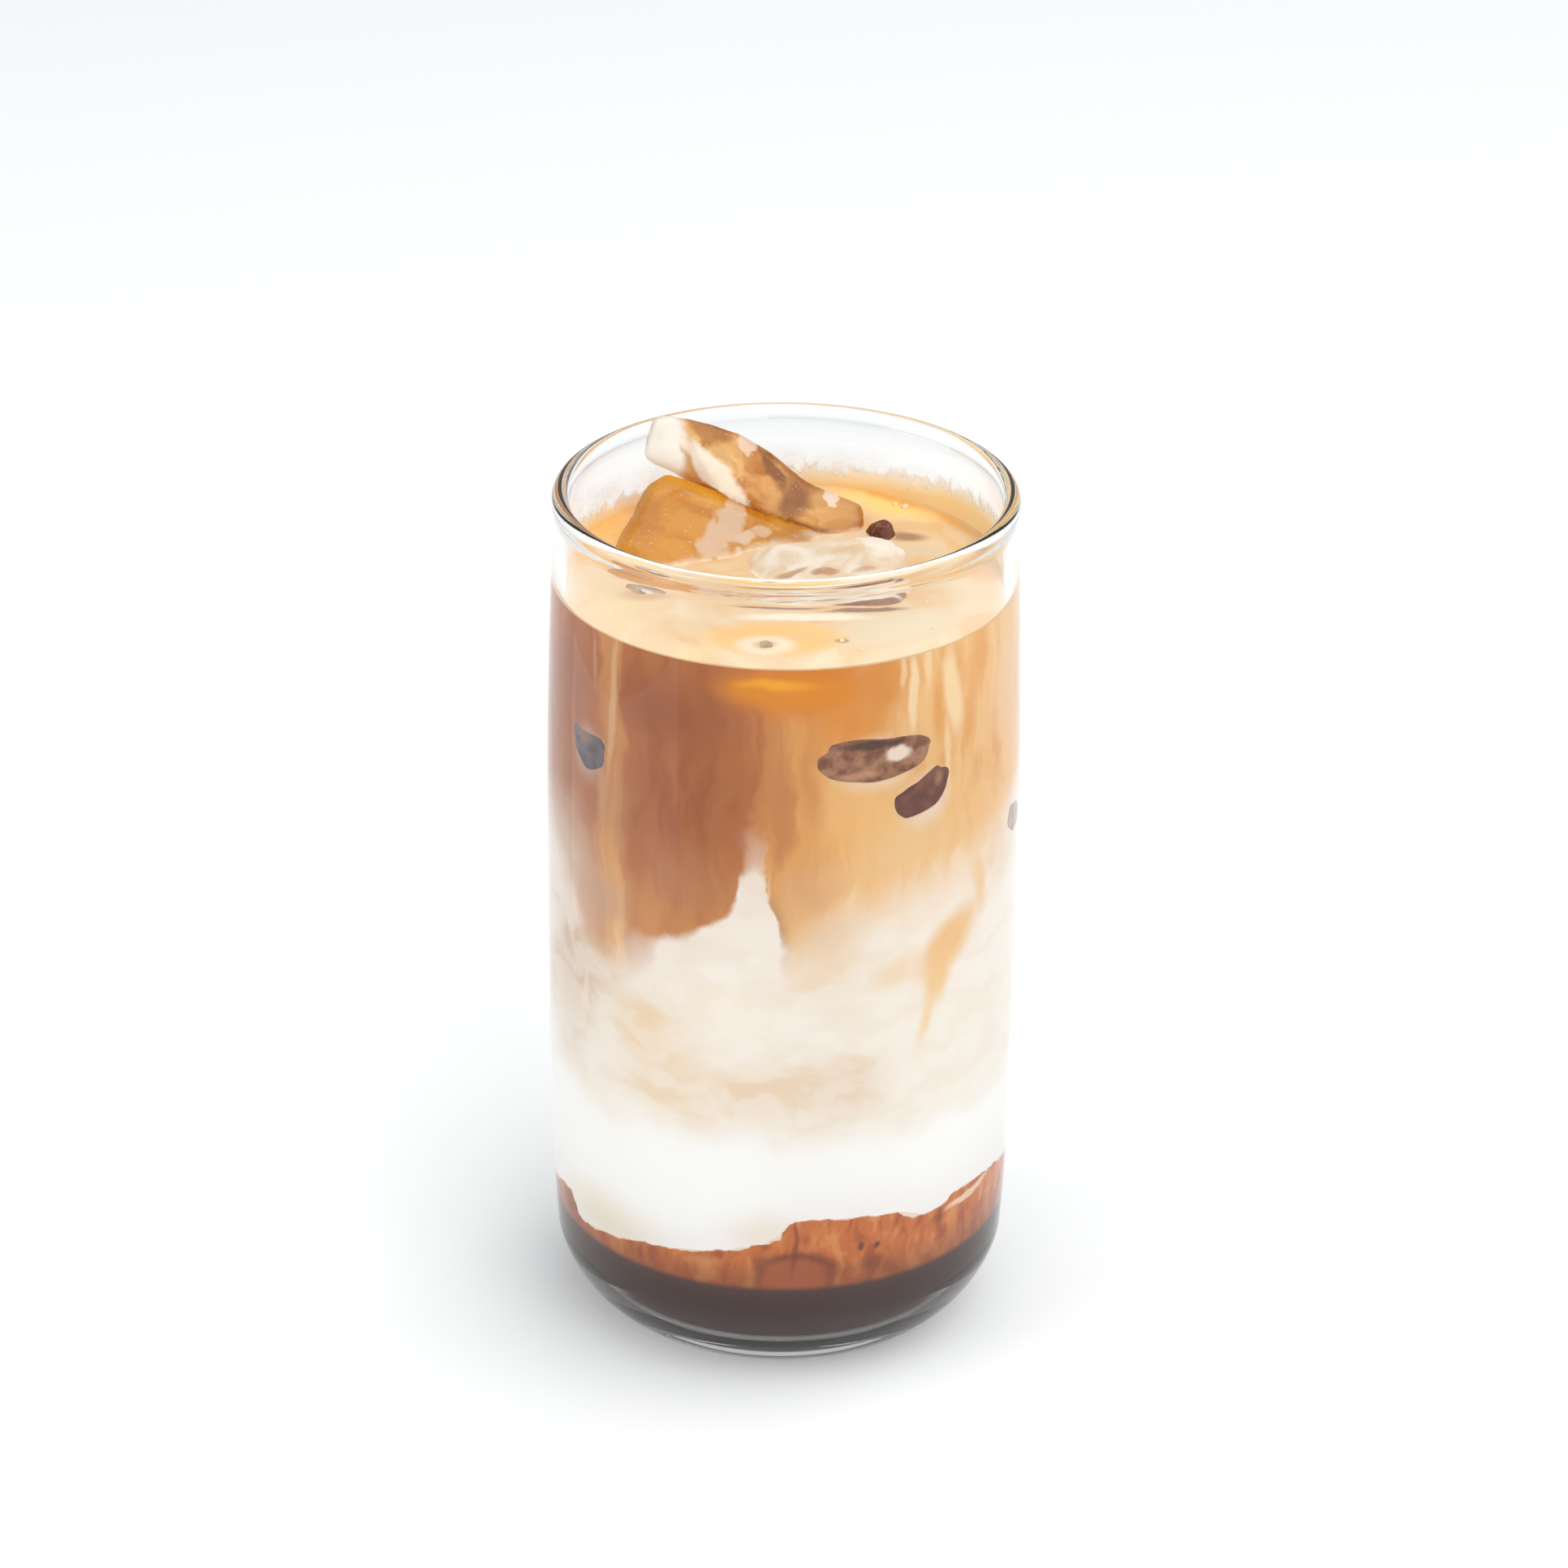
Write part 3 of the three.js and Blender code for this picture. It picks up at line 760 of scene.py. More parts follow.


# How each piece of ice looks from above: its deep and its pale colour, how clear it is, how far foam
# clings to it, and its patches as seen from the top (x, y) or the front (x, z): place, half-sizes in
# millimetres, turn, colour, strength, softness
# Some of the patches are painted highlights, and one is a painted reflection of the overhead softbox.
ICE_LOOKS = {
    "ice_block": ("D48A1E", "E4A03C", 0.35, 1.1, "top", [
        (-14.5, 16.5, 8, 2.2, -22, "EBA628", 0.9, 0.7),
        (-22, 8, 5, 12, 0, "C48434", 0.7, 0.9),
        # the painted reflection of the overhead softbox: its middle, its ragged ends and the clear gaps in it
        (-9.6, 8.9, 2.9, 5.8, -20, "ECC8A4", 0.95, 0.3),
        (-7.7, 13.4, 1.7, 2.2, 35, "ECC8A4", 0.9, 0.4),
        (-12.0, 4.6, 2.4, 2.0, -30, "ECC8A4", 0.95, 0.4),
        (-6.2, 8.4, 2.4, 1.3, 30, "EFD0AE", 0.95, 0.4),
        (-3.6, 10.2, 1.8, 1.2, 10, "ECC49A", 0.9, 0.4),
        (-13.9, 1.6, 1.6, 0.9, 0, "ECC8A4", 0.8, 0.5),
        (-6.9, 4.9, 1.0, 1.8, 15, "F2D8BC", 0.9, 0.5),
        (-8.2, 6.4, 0.9, 0.7, 0, "DD9A42", 0.9, 0.6),
        (-10.9, 10.6, 0.7, 1.5, 10, "DD9A42", 0.8, 0.6),
        (-10.6, 2.9, 0.8, 0.8, 0, "DD9A42", 0.8, 0.6),
        (2.0, 10.5, 3.5, 3.5, 0, "C98434", 0.7, 0.8),
        (-10, 0.6, 14, 1.3, 24, "F4E2C8", 0.95, 0.4),
    ]),
    "ice_splinter": ("B8742E", "E2B06A", 0.45, 0.5, "front", [
        (-10.5, 131.6, 8.5, 2.3, -44, "F8F0E2", 1.0, 0.4),
        (-18.8, 134.5, 4.2, 8.0, 0, "F8F4EC", 1.0, 0.4),
        (-14.6, 133.4, 4.5, 0.5, -60, "C9A274", 0.8, 0.7),
        (-12, 137.9, 5.0, 1.4, -22, "AC6A28", 0.95, 0.5),
        # a painted highlight on the ridge
        (-6.0, 135.6, 2.0, 1.0, -35, "F6E0CA", 0.95, 0.3),
        (-2.2, 132.3, 4.4, 1.1, -49, "7E4E22", 0.95, 0.6),
        (1.0, 128.2, 3.4, 2.6, 0, "8E6038", 0.9, 0.6),
        (8.0, 126.2, 4.0, 2.6, -20, "D6A45E", 0.95, 0.6),
        (3.0, 124.8, 6.0, 0.8, -8, "A08060", 0.85, 0.6),
        # a painted highlight near the right end
        (6.9, 128.0, 1.4, 0.6, -20, "FCF2E0", 0.95, 0.3),
    ]),
    "ice_front": ("EDD4B2", "FAEEDC", 0.25, 0.5, "top", [
        (0.8, -4.4, 3.0, 0.9, 8, "C08E68", 0.75, 0.5),
        (6.0, -5.4, 2.6, 0.9, -6, "BE8A62", 0.75, 0.5),
        (12, -6.0, 2.2, 0.8, 0, "C69670", 0.6, 0.6),
        (9, -1.4, 6, 1.6, -8, "E6C69C", 0.8, 0.8),
        (11.5, -10.8, 9, 1.9, 4, "8A5A3E", 0.95, 0.5),
        (17.6, -7.6, 1.6, 2.6, 0, "9A6A4C", 0.9, 0.5),
        (8, 3.5, 10, 1.6, 0, "FBF2E2", 0.9, 0.7),
    ]),
    "ice_chip": ("5A2A1C", "80492E", 0.3, 0.2, "top", []),
    # the lump's one patch is a painted highlight
    "ice_lump": ("94704E", "D8BC9C", 0.4, 0.2, "top", [(-20.5, -7.6, 1.2, 0.5, 0, "FFF8EC", 0.9, 0.4)]),
    "ice_tip": ("A87C42", "D8B480", 0.4, 0.1, "top", []),
}


def ice_material(node_name):
    """Melting ice: wet and half clear, stained by the coffee it lies in, with a frosty grain, and painted
    highlights and a painted reflection on some pieces.
    """
    deep, pale, clearness, cling, side, patches = ICE_LOOKS[node_name]
    material, tree = new_material("melting " + node_name.replace("_", " "))
    point = point_in_mm(tree)
    fine = stirred(tree, point, point, 2.8, 2.0, detail=4.0)
    veins = lumps(tree, fine, 5.0, 2.0, Distortion=0.6)
    colour = add(tree, "ValToRGB", {0: veins}, [(0.35, deep), (0.65, pale)])
    # the foam that clings to the ice where it leaves the drink
    place = add(tree, "SeparateXYZ", {0: fine}).outputs
    clinging = add(tree, "MapRange", {0: place["Z"], 1: CREMA_TOP + cling, 2: CREMA_TOP}, **SOFT)
    colour = paint(tree, colour, "F8E4C2", clinging, 0.85)
    if side == "front":
        fine = add(tree, "CombineXYZ", {0: place["X"], 1: place["Z"]})
    colour = paint_patches(tree, colour, fine, patches)
    # specks of frost under half a millimetre across
    frost = add(tree, "MapRange", {0: lumps(tree, point, 0.45), 1: 0.66, 2: 0.74}, **SOFT)
    colour = paint(tree, colour, "FFF6E6", frost, 0.55)
    grain = lumps(tree, point, 1.2, 3.0)
    relief = add(tree, "Bump", {"Height": grain, "Strength": 0.3, "Distance": 0.15 * MM})
    shader = add(tree, "BsdfPrincipled", {
        "Base Color": colour,
        "Roughness": 0.08,
        "IOR": 1.31,
        "Transmission Weight": clearness,
        "Normal": relief,
    })
    through = add(tree, "BsdfTransparent", {"Color": linear("F3E6D0")})
    lamp = add(tree, "LightPath").outputs["Is Shadow Ray"]
    send_out(tree, add(tree, "MixShader", {0: lamp, 1: shader, 2: through}))
    return material


# Marks on the faces of the sunk ice, as seen at the wall, in the same order of values as the swirls
SUNK_MARKS = {
    "left": [(-57.5, 105, 5, 2.4, 0, "94705A", 0.9, 0.8)],
    "wide": [
        (23, 110.0, 13, 1.1, -2, "472A20", 0.9, 0.7),
        (29, 107.9, 4.6, 1.5, 0, "F4E8D8", 0.95, 0.5),
        (18, 105.4, 8, 1.0, 0, "CFA078", 0.7, 0.8),
    ],
    "small": [(41, 102.2, 2.4, 1.8, 0, "A8745A", 0.8, 0.8)],
    "right": [],
}


def sunk_ice_material(name, deep, pale):
    """Ice pressed to the glass under the surface: dark, with the frost of its rough face."""
    material, tree = new_material("sunk ice " + name)
    point = point_in_mm(tree)
    fine = stirred(tree, unrolled(tree, point), point, 1.6, 1.2, detail=4.0)
    colour = add(tree, "ValToRGB", {0: lumps(tree, fine, 2.4, 3.0)}, [(0.35, deep), (0.7, pale)])
    colour = paint_patches(tree, colour, fine, SUNK_MARKS[name], ARC_PER_DEGREE)
    send_out(tree, add(tree, "BsdfPrincipled", {
        "Base Color": colour,
        "Roughness": 0.5,
        "Specular IOR Level": 0.0,
    }))
    return material


def foam_film_material():
    """The film on the glass above the drink: torn cream of foam, and a white haze of mist over it."""
    material, tree = new_material("film of foam")
    point = point_in_mm(tree)
    wall = unrolled(tree, point)
    over = add(tree, "Math", {0: past_outline(tree, wall, FILM_EDGE), 1: -CREMA_TOP}, operation="ADD")
    # lace with holes 2 mm across, which thins out towards the top
    lace = lumps(tree, point, 2.0, 5.0, (1, 1, 0.6), Distortion=0.8)
    torn = add(tree, "Math", {0: lace, 1: 7.0, 2: over}, operation="MULTIPLY_ADD")
    cream = add(tree, "MapRange", {0: torn, 1: 4.0, 2: 1.8, 3: 0.0, 4: 0.9}, **SOFT)
    height = add(tree, "SeparateXYZ", {0: wall}).outputs["Y"]
    mist = lumps(tree, point, 5.0, 6.0)
    thin = add(tree, "MapRange", {0: mist, 1: 0.35, 2: 0.7, 3: 0.16, 4: 0.42})
    fading = add(tree, "MapRange", {0: height, 1: HAZE_TOP, 2: HAZE_TOP - 5}, **SOFT)
    haze = add(tree, "Math", {0: thin, 1: fading}, operation="MULTIPLY")
    alpha = add(tree, "Math", {0: cream, 1: haze}, operation="MAXIMUM")
    # white where it is thin, the foam's own colour where it is thick
    thick = add(tree, "MapRange", {0: over, 1: 0.5, 2: -4.0}, **SOFT)
    tint = add(tree, "ValToRGB", {0: thick}, [
        (0.0, "FFFFFF"), (0.35, "FFF8EA"), (0.7, "FFEEC8"), (1.0, "FFE0A4"),
    ])
    shader = add(tree, "BsdfPrincipled", {
        "Base Color": tint,
        "Roughness": 0.5,
        "Alpha": alpha,
        "Specular IOR Level": 0.2,
    })
    send_out(tree, shader)
    return material


# How high the torn film of foam reaches above the drink: angle, height
FILM_EDGE = [
    (-180, 3.6), (-160, 3.4), (-135, 2.6), (-110, 3.8), (-80, 2.4), (-60, 0.6), (-20, 0.3), (30, 0.3),
    (55, 0.8), (75, 3.0), (100, 6.2), (125, 6.0), (140, 4.8), (165, 3.8), (180, 3.6),
]
# How high the haze reaches, and how high its piece reaches round the glass: angle, height
HAZE_TOP = CREMA_TOP + 8.2
HAZE_EDGE = [
    (-180, 8.4), (-108, 8.4), (-90, 4.0), (-80, 1.3), (-72, 0.1),
    (72, 0.1), (80, 1.3), (90, 4.0), (108, 8.4), (180, 8.4),
]


def bubble_material():
    """A bubble's skin: thin, wet and the colour of the foam under it."""
    material, tree = new_material("bubble skin")
    skin = lumps(tree, point_in_mm(tree), 0.8)
    tint = add(tree, "ValToRGB", {0: skin}, [(0.3, "E0B67C"), (0.7, "F0D6AC")])
    send_out(tree, add(tree, "BsdfPrincipled", {"Base Color": tint, "Roughness": 0.12}))
    return material


def table_material():
    """White laminate table: matt and even."""
    material, tree = new_material("white laminate")
    send_out(tree, add(tree, "BsdfPrincipled", {
        "Base Color": linear("FAFAFA"),
        "Roughness": 0.8,
        "Specular IOR Level": 0.2,
    }))
    return material


class TumblerSettings(bpy.types.PropertyGroup):
    wall: FloatProperty(
        name="Wall", description="Thickness of the glass wall", default=WALL * MM, unit="LENGTH", precision=5)
    sides: IntProperty(name="Sides", description="Faces round the glass", default=144, min=48, max=256)


class IceSettings(bpy.types.PropertyGroup):
    voxel: FloatProperty(
        name="Fineness", description="Edge of the ice's faces", default=0.4 * MM, unit="LENGTH", precision=5)
    melt: FloatProperty(
        name="Melt", description="Depth of the hollows that melting leaves", default=0.35 * MM,
        unit="LENGTH", precision=5)


class StageSettings(bpy.types.PropertyGroup):
    key: FloatProperty(
        name="Key light", description="Power of the overhead softbox", default=9.0, unit="POWER")
    fill: FloatProperty(
        name="Left light", description="Power of the softbox at the left", default=5.5, unit="POWER")
    front: FloatProperty(
        name="Front light", description="Power of the softbox beside the camera", default=8.5, unit="POWER")
    card: FloatProperty(
        name="Low card", description="Power of the strip whose reflection veils the left of the wall",
        default=0.012, unit="POWER")
    world: FloatVectorProperty(
        name="Room", description="Colour of the dim room", subtype="COLOR", size=3,
        default=linear("C0C4C6")[:3])


class MOCHA_OT_tumbler(bpy.types.Operator):
    """Turns the clear tumbler with its thick base and rounded rim"""
    bl_idname = "mocha.tumbler"
    bl_label = "Tumbler"

    def execute(self, context):
        settings = context.scene.mocha_tumbler
        wall = settings.wall / MM
        heights = [21, 26, 32, 40, 48, 60, 72, 80, 88, 96, 104, 112, 118, 124, 129, 133]
        underside = [(PUSH_UP_RADIUS * s, PUSH_UP * (1 - s ** 2)) for s in (0, 0.25, 0.5, 0.75, 0.9, 1)]
        corner = corner_arc(FOOT_RADIUS, 0, CORNER_RADIUS, CORNER_HEIGHT, 16)
        outside = [(outer_radius(z), z) for z in [16.5, *heights]]
        middle = (RIM_RADIUS - RIM_THICKNESS / 2, GLASS_HEIGHT - BEAD_HEIGHT / 2)
        bead = []
        for degrees in range(-30, 211, 15):
            turn = math.radians(degrees)
            out, up = RIM_THICKNESS / 2 * math.cos(turn), BEAD_HEIGHT / 2 * math.sin(turn)
            bead.append((middle[0] + out, middle[1] + up))
        inside = [(outer_radius(z) - wall, z) for z in reversed(heights)]
        inner_edge = outer_radius(INNER_CORNER_HEIGHT) - wall
        inner_corner = corner_arc(FLOOR_RADIUS, FLOOR_HEIGHT, inner_edge, INNER_CORNER_HEIGHT, 14)
        cavity = [*inside, *reversed(inner_corner), (0, FLOOR_HEIGHT)]
        piece = turned("tumbler", [*underside, *corner, *outside, *bead, *cavity], settings.sides)
        finish_piece(piece, clear_glass_material(), "clear_glass", "glass")
        return {"FINISHED"}


def syrup_top(r, angle):
    """Height of the syrup: level, with a skirt that climbs the wall up to the smear's edge."""
    climb = smooth(r, ARC_RADIUS - 6.5, ARC_RADIUS - 0.6)
    return SYRUP_LEVEL + (between(SMEAR_EDGE, angle) - SYRUP_LEVEL) * climb


def milk_top(r, angle):
    """Height of the milk: level at the axis, and as its edge waves at the wall."""
    return MILK_LEVEL + (between(MILK_EDGE, angle) - MILK_LEVEL) * min(1, r / 34) ** 2


def coffee_top(r, angle):
    """Height of the coffee, under the foam."""
    return CREMA_BOTTOM


class MOCHA_OT_syrup(bpy.types.Operator):
    """Pours the chocolate syrup with its smear up the wall"""
    bl_idname = "mocha.syrup"
    bl_label = "Chocolate syrup"

    def execute(self, context):
        wall = context.scene.mocha_tumbler.wall / MM
        rings = [8, 15, 19, 22, 24.5, 26.5, 28.2, 29.6, 30.8, 31.7, 32.4, 32.9, 33.2]

        def underside(r, angle):
            return floor_height(r, wall) - REACH

        piece = layer("chocolate_syrup_settled", underside, syrup_top, rings, SMEAR_RINGS, wall, 12)
        finish_piece(piece, syrup_material(), "syrup", "chocolate_syrup", angle=50)
        return {"FINISHED"}


class MOCHA_OT_milk(bpy.types.Operator):
    """Pours the milk over the syrup"""
    bl_idname = "mocha.milk"
    bl_label = "Milk"

    def execute(self, context):
        wall = context.scene.mocha_tumbler.wall / MM
        piece = layer("milk_layer", syrup_top, milk_top, SMEAR_RINGS, MILK_RINGS, wall, 20)
        finish_piece(piece, drink_material("milk stirred with coffee"), "milk", "milk", angle=40)
        return {"FINISHED"}


ICE_NODES = ["ice_block", "ice_splinter", "ice_front", "ice_chip", "ice_lump", "ice_tip"]


def carve_ice(piece):
    """Cuts out of a liquid the room that the ice takes up, a little less than the ice itself."""
    for node_name in ICE_NODES:
        cutter = copy_of_node(node_name, "cutter")
        bpy.ops.object.mode_set(mode="EDIT")
        bpy.ops.mesh.select_all(action="SELECT")
        bpy.ops.transform.shrink_fatten(value=-WETTING * MM)
        bpy.ops.object.mode_set(mode="OBJECT")
        apply_modifier(piece, "BOOLEAN", object=cutter, operation="DIFFERENCE", solver="EXACT")
        bpy.data.objects.remove(cutter)


class MOCHA_OT_coffee(bpy.types.Operator):
    """Pours the coffee over the milk, round the sunk part of the ice"""
    bl_idname = "mocha.coffee"
    bl_label = "Coffee"

    def execute(self, context):
        wall = context.scene.mocha_tumbler.wall / MM
        piece = layer("coffee_layer", milk_top, coffee_top, MILK_RINGS, COFFEE_RINGS, wall, 12)
        carve_ice(piece)
        finish_piece(piece, bpy.data.materials["milk stirred with coffee"], "coffee", "coffee", angle=40)
        return {"FINISHED"}


class MOCHA_OT_crema(bpy.types.Operator):
    """Lays the thin foam on the coffee"""
    bl_idname = "mocha.crema"
    bl_label = "Crema"

    def execute(self, context):
        wall = context.scene.mocha_tumbler.wall / MM
        rings = [2.5 + 1.5 * i for i in range(18)] + [30, 31, 31.8, 32.4, 32.9]

        def top(r, angle):
            x, y = r * math.sin(math.radians(angle)), -r * math.cos(math.radians(angle))
            wave = sum(noise.noise(Vector((x, y, z)) / length) * height for z, length, height in FOAM_WAVES)
            return CREMA_TOP + wave * (1 - smooth(r, 30, 33)) - foam_dip(r, angle)

        piece = layer("crema_foam", coffee_top, top, COFFEE_RINGS, rings, wall, 3)
        carve_ice(piece)
        finish_piece(piece, crema_material(), "crema", "crema", angle=50)
        return {"FINISHED"}


class MOCHA_OT_ice(bpy.types.Operator):
    """Shapes the six pieces of melting ice that stand out of the foam"""
    bl_idname = "mocha.ice"
    bl_label = "Ice"

    def execute(self, context):
        settings = context.scene.mocha_ice
        for node_name in ICE_NODES:
            piece = copy_of_node(node_name, node_name + "_melting")
            apply_modifier(piece, "REMESH", mode="VOXEL", voxel_size=settings.voxel)
            apply_modifier(piece, "SMOOTH", factor=0.5, iterations=4)
            ruffle(piece, 5.0, settings.melt / MM)
            ruffle(piece, 1.6, 0.12)
            finish_piece(piece, ice_material(node_name), "ice", node_name)
        return {"FINISHED"}


# Ice that touches the glass under the surface: name, angle, height, half-width, half-height, how
# far its ends curl up, turn, and its dark and light colours
SUNK_ICE = [
    ("left", -56, 102.6, 3.6, 2.6, 1.2, 0, "4A4650", "6A6068"),
    ("wide", 23.5, 107.4, 7.8, 2.9, 0.5, -3, "7A4A34", "B08260"),
    ("small", 36.5, 100.0, 4.4, 2.4, 0.9, 24, "5E3226", "7E4C3A"),
    ("right", 78, 86.5, 3.0, 1.9, 0.3, -20, "A08578", "C0A89C"),
]
# How far it reaches into the drink, and how far its face stands past the liquids' skin
SUNK_DEPTH = 3.0
SUNK_REACH = 0.12


class MOCHA_OT_sunk_ice(bpy.types.Operator):
    """Presses the sunk ice to the glass, where its dark faces show through the wall"""
    bl_idname = "mocha.sunk_ice"
    bl_label = "Sunk ice"

    def execute(self, context):
        wall = context.scene.mocha_tumbler.wall / MM
        for name, angle, height, half_width, half_height, curl, turn, deep, pale in SUNK_ICE:
            deselect_all()
            bpy.ops.mesh.primitive_cube_add(size=2 * MM)
            piece = bpy.context.object
            piece.name = piece.data.name = "sunk_ice_" + name
            bpy.ops.object.mode_set(mode="EDIT")
            bpy.ops.mesh.subdivide(number_cuts=14)
            bpy.ops.transform.tosphere(value=0.8)
            bpy.ops.object.mode_set(mode="OBJECT")
            lean = math.radians(turn)

            def place(point):
                x, y, z = point
                rough = 1 + 0.16 * noise.noise(Vector((x, y, z)) * 1.6 + Vector((angle, 0, 0)))
                side, rise = x * half_width * rough, z * half_height * rough
                rise += curl * x * x
                along = side * math.cos(lean) - rise * math.sin(lean)
                up = height + side * math.sin(lean) + rise * math.cos(lean)
                sunk = SUNK_DEPTH * max(0.0, y + 0.45)
                radius = skin_radius(up, wall) + SUNK_REACH - sunk
                turned_by = math.radians(angle) + along / skin_radius(up, wall)
                return (radius * math.sin(turned_by), -radius * math.cos(turned_by), up)

            reshape(piece, place)
            face_outward(piece)
            finish_piece(piece, sunk_ice_material(name, deep, pale), "ice")
        return {"FINISHED"}


class MOCHA_OT_foam_film(bpy.types.Operator):
    """Leaves the torn film of foam on the inside of the wall"""
    bl_idname = "mocha.foam_film"
    bl_label = "Film of foam"

    def execute(self, context):
        wall = context.scene.mocha_tumbler.wall / MM
        steps = 10
        outside = [(BODY_RADIUS, i / steps) for i in range(steps + 1)]
        inside = [(BODY_RADIUS - 1, z) for _, z in reversed(outside)]
        piece = turned("foam_film", [*outside, *inside, outside[0]], 240)

        def place(point):
            r = math.hypot(point.x, point.y)
            angle = math.degrees(math.atan2(point.x, -point.y))
            height = CREMA_TOP - FILM_ROOT + point.z * between(HAZE_EDGE, angle)
            inner = outer_radius(height) - wall
            thickness = FILM_THICKNESS * (1 - 0.7 * point.z)
            radius = inner + 0.04 if r > BODY_RADIUS - 0.5 else inner - thickness
            return (point.x * radius / r, point.y * radius / r, height)

        reshape(piece, place)
        finish_piece(piece, foam_film_material(), "crema", angle=60)
        return {"FINISHED"}


# Bubbles on the foam: x, y and radius in millimetres; the small ones are strewn, most near the glass
LARGE_BUBBLES = [
    (17.0, 25.3, 0.55), (18.5, 24.0, 0.75), (8.3, -25.4, 0.45), (11.0, -28.5, 0.5), (-24.5, -16, 0.35),
]
SMALL_BUBBLES = 40


class MOCHA_OT_bubbles(bpy.types.Operator):
    """Blows the bubbles that stand on the foam"""
    bl_idname = "mocha.bubbles"
    bl_label = "Bubbles"

    def execute(self, context):
        def dome(point):
            rounded = point.z * 0.8 if point.z > 0 else point.z * 0.4
            wobble = 1 + 0.12 * noise.noise(point * 3)
            return (point.x * wobble, point.y * wobble, rounded)

        dice = random.Random(7)
        bubbles = list(LARGE_BUBBLES)
        for _ in range(SMALL_BUBBLES):
            turn = dice.uniform(-math.pi, math.pi)
            away = 31.5 - abs(dice.gauss(0, 4.0))
            bubbles.append((away * math.sin(turn), -away * math.cos(turn), dice.uniform(0.08, 0.2)))
        deselect_all()
        made = []
        for x, y, radius in bubbles:
            level = CREMA_TOP - foam_dip(math.hypot(x, y), math.degrees(math.atan2(x, -y)))
            place = (x * MM, y * MM, (level - radius * 0.1) * MM)
            bpy.ops.mesh.primitive_ico_sphere_add(subdivisions=2, radius=radius * MM, location=place)
            reshape(bpy.context.object, dome)
            made.append(bpy.context.object)
        for bubble in made:
            bubble.select_set(True)
        bpy.ops.object.join()
        bpy.ops.object.transform_apply(location=True, rotation=True, scale=True)
        piece = bpy.context.object
        piece.name = piece.data.name = "foam_bubbles"
        finish_piece(piece, bubble_material(), "crema")
        return {"FINISHED"}


class MOCHA_OT_stage(bpy.types.Operator):
    """Sets the white table, the softboxes, the dim room and the camera"""
    bl_idname = "mocha.stage"
    bl_label = "Stage"

    def execute(self, context):
        settings = context.scene.mocha_stage
        deselect_all()
        bpy.ops.mesh.primitive_plane_add(size=8)
        table = bpy.context.object
        table.name = "table_top"
        table.data.materials.append(table_material())
        drink = (0, 0, 0.06)
        for name, place, target, size, power in (
            ("overhead_softbox", (0.5, 0.1, 1.25), drink, (1.3, 1.1), settings.key),
            ("left_softbox", (-1.1, -0.3, 0.8), drink, (0.9, 1.0), settings.fill),
            ("front_softbox", (0.7, -1.2, 1.1), drink, (1.2, 1.0), settings.front),
            ("low_left_card", (-0.142, -0.036, 0.036), (0, -0.036, 0.036), (0.19, 0.06), settings.card),
        ):
            bpy.ops.object.light_add(type="AREA", location=place)
            lamp = bpy.context.object
            lamp.name = name
            lamp.data.shape = "RECTANGLE"
            lamp.data.size, lamp.data.size_y = size
            lamp.data.energy = power
            lamp.rotation_mode = "QUATERNION"
            lamp.rotation_quaternion = (Vector(target) - Vector(place)).to_track_quat("-Z", "Y")
        world = bpy.data.worlds.new("dim room")
        world.use_nodes = True
        world.node_tree.nodes["Background"].inputs["Color"].default_value = (*settings.world, 1)
        world.node_tree.nodes["Background"].inputs["Strength"].default_value = 1.0
        context.scene.world = world
        context.scene.view_settings.view_transform = "Standard"
        add_camera(context.scene)
        return {"FINISHED"}


# The photograph's camera: its place in millimetres, its tilt and roll in degrees, and its focal
# length in millimetres on a 36 mm wide sensor
CAMERA_PLACE = (0.1, -780.0, 468.5)
CAMERA_PITCH = 26.02
CAMERA_ROLL = 0.58
CAMERA_LENS = 129.0


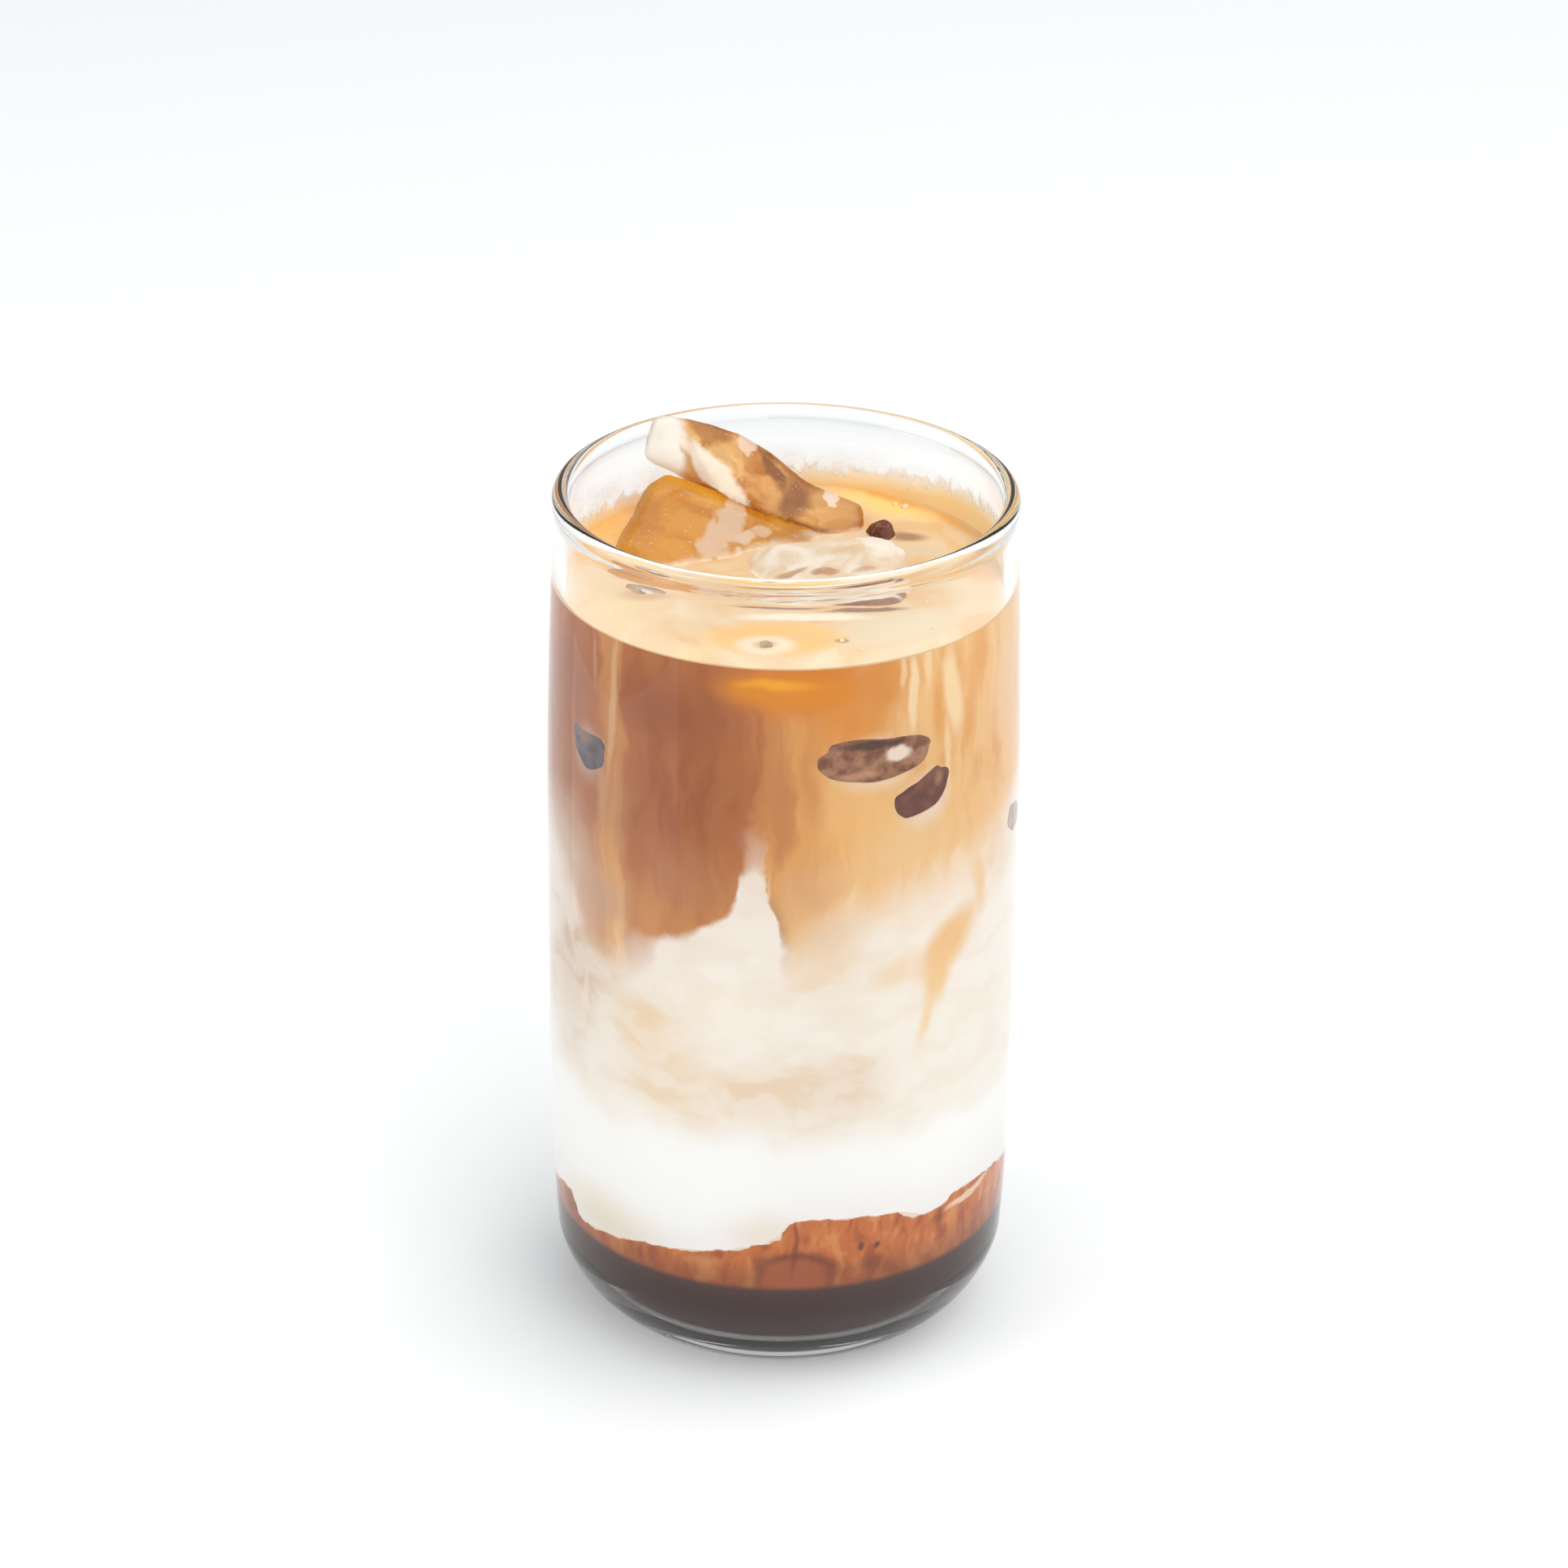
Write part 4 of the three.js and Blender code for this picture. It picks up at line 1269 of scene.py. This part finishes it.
def add_camera(scene):
    """Stands the photograph's camera in the scene, turned by its tilt and roll."""
    bpy.ops.object.camera_add(location=[value * MM for value in CAMERA_PLACE])
    camera = bpy.context.object
    camera.name = "photo_camera"
    camera.data.lens = CAMERA_LENS
    camera.data.sensor_width = 36.0
    pitch, roll = math.radians(CAMERA_PITCH), math.radians(CAMERA_ROLL)
    forward = Vector((0, math.cos(pitch), -math.sin(pitch)))
    right = Vector((1, 0, 0))
    up = right.cross(forward)
    turned_right = right * math.cos(roll) + up * math.sin(roll)
    turned_up = up * math.cos(roll) - right * math.sin(roll)
    camera.rotation_mode = "QUATERNION"
    camera.rotation_quaternion = Matrix((turned_right, turned_up, -forward)).transposed().to_quaternion()
    scene.camera = camera


class MOCHA_PT_panel(bpy.types.Panel):
    """Lists the pieces of the drink and the stage"""
    bl_idname = "MOCHA_PT_panel"
    bl_label = "Iced mocha"
    bl_space_type = "VIEW_3D"
    bl_region_type = "UI"
    bl_category = "Mocha"

    def draw(self, context):
        for operator in OPERATORS:
            self.layout.operator(operator.bl_idname)


SETTINGS = {
    "mocha_tumbler": TumblerSettings,
    "mocha_ice": IceSettings,
    "mocha_stage": StageSettings,
}
OPERATORS = [
    MOCHA_OT_stage,
    MOCHA_OT_tumbler,
    MOCHA_OT_syrup,
    MOCHA_OT_milk,
    MOCHA_OT_coffee,
    MOCHA_OT_crema,
    MOCHA_OT_ice,
    MOCHA_OT_sunk_ice,
    MOCHA_OT_foam_film,
    MOCHA_OT_bubbles,
]


def register():
    """Registers the settings, the operators and the panel."""
    for kind in [*SETTINGS.values(), *OPERATORS, MOCHA_PT_panel]:
        bpy.utils.register_class(kind)
    for name, kind in SETTINGS.items():
        setattr(bpy.types.Scene, name, PointerProperty(type=kind))


def unregister():
    """Takes them out again, in the opposite order."""
    for name in SETTINGS:
        delattr(bpy.types.Scene, name)
    for kind in [MOCHA_PT_panel, *reversed(OPERATORS), *reversed(SETTINGS.values())]:
        bpy.utils.unregister_class(kind)


def main():
    """Builds every piece and the stage."""
    register()
    for operator in OPERATORS:
        group, _, action = operator.bl_idname.partition(".")
        getattr(getattr(bpy.ops, group), action)()


if __name__ == "__main__":
    main()
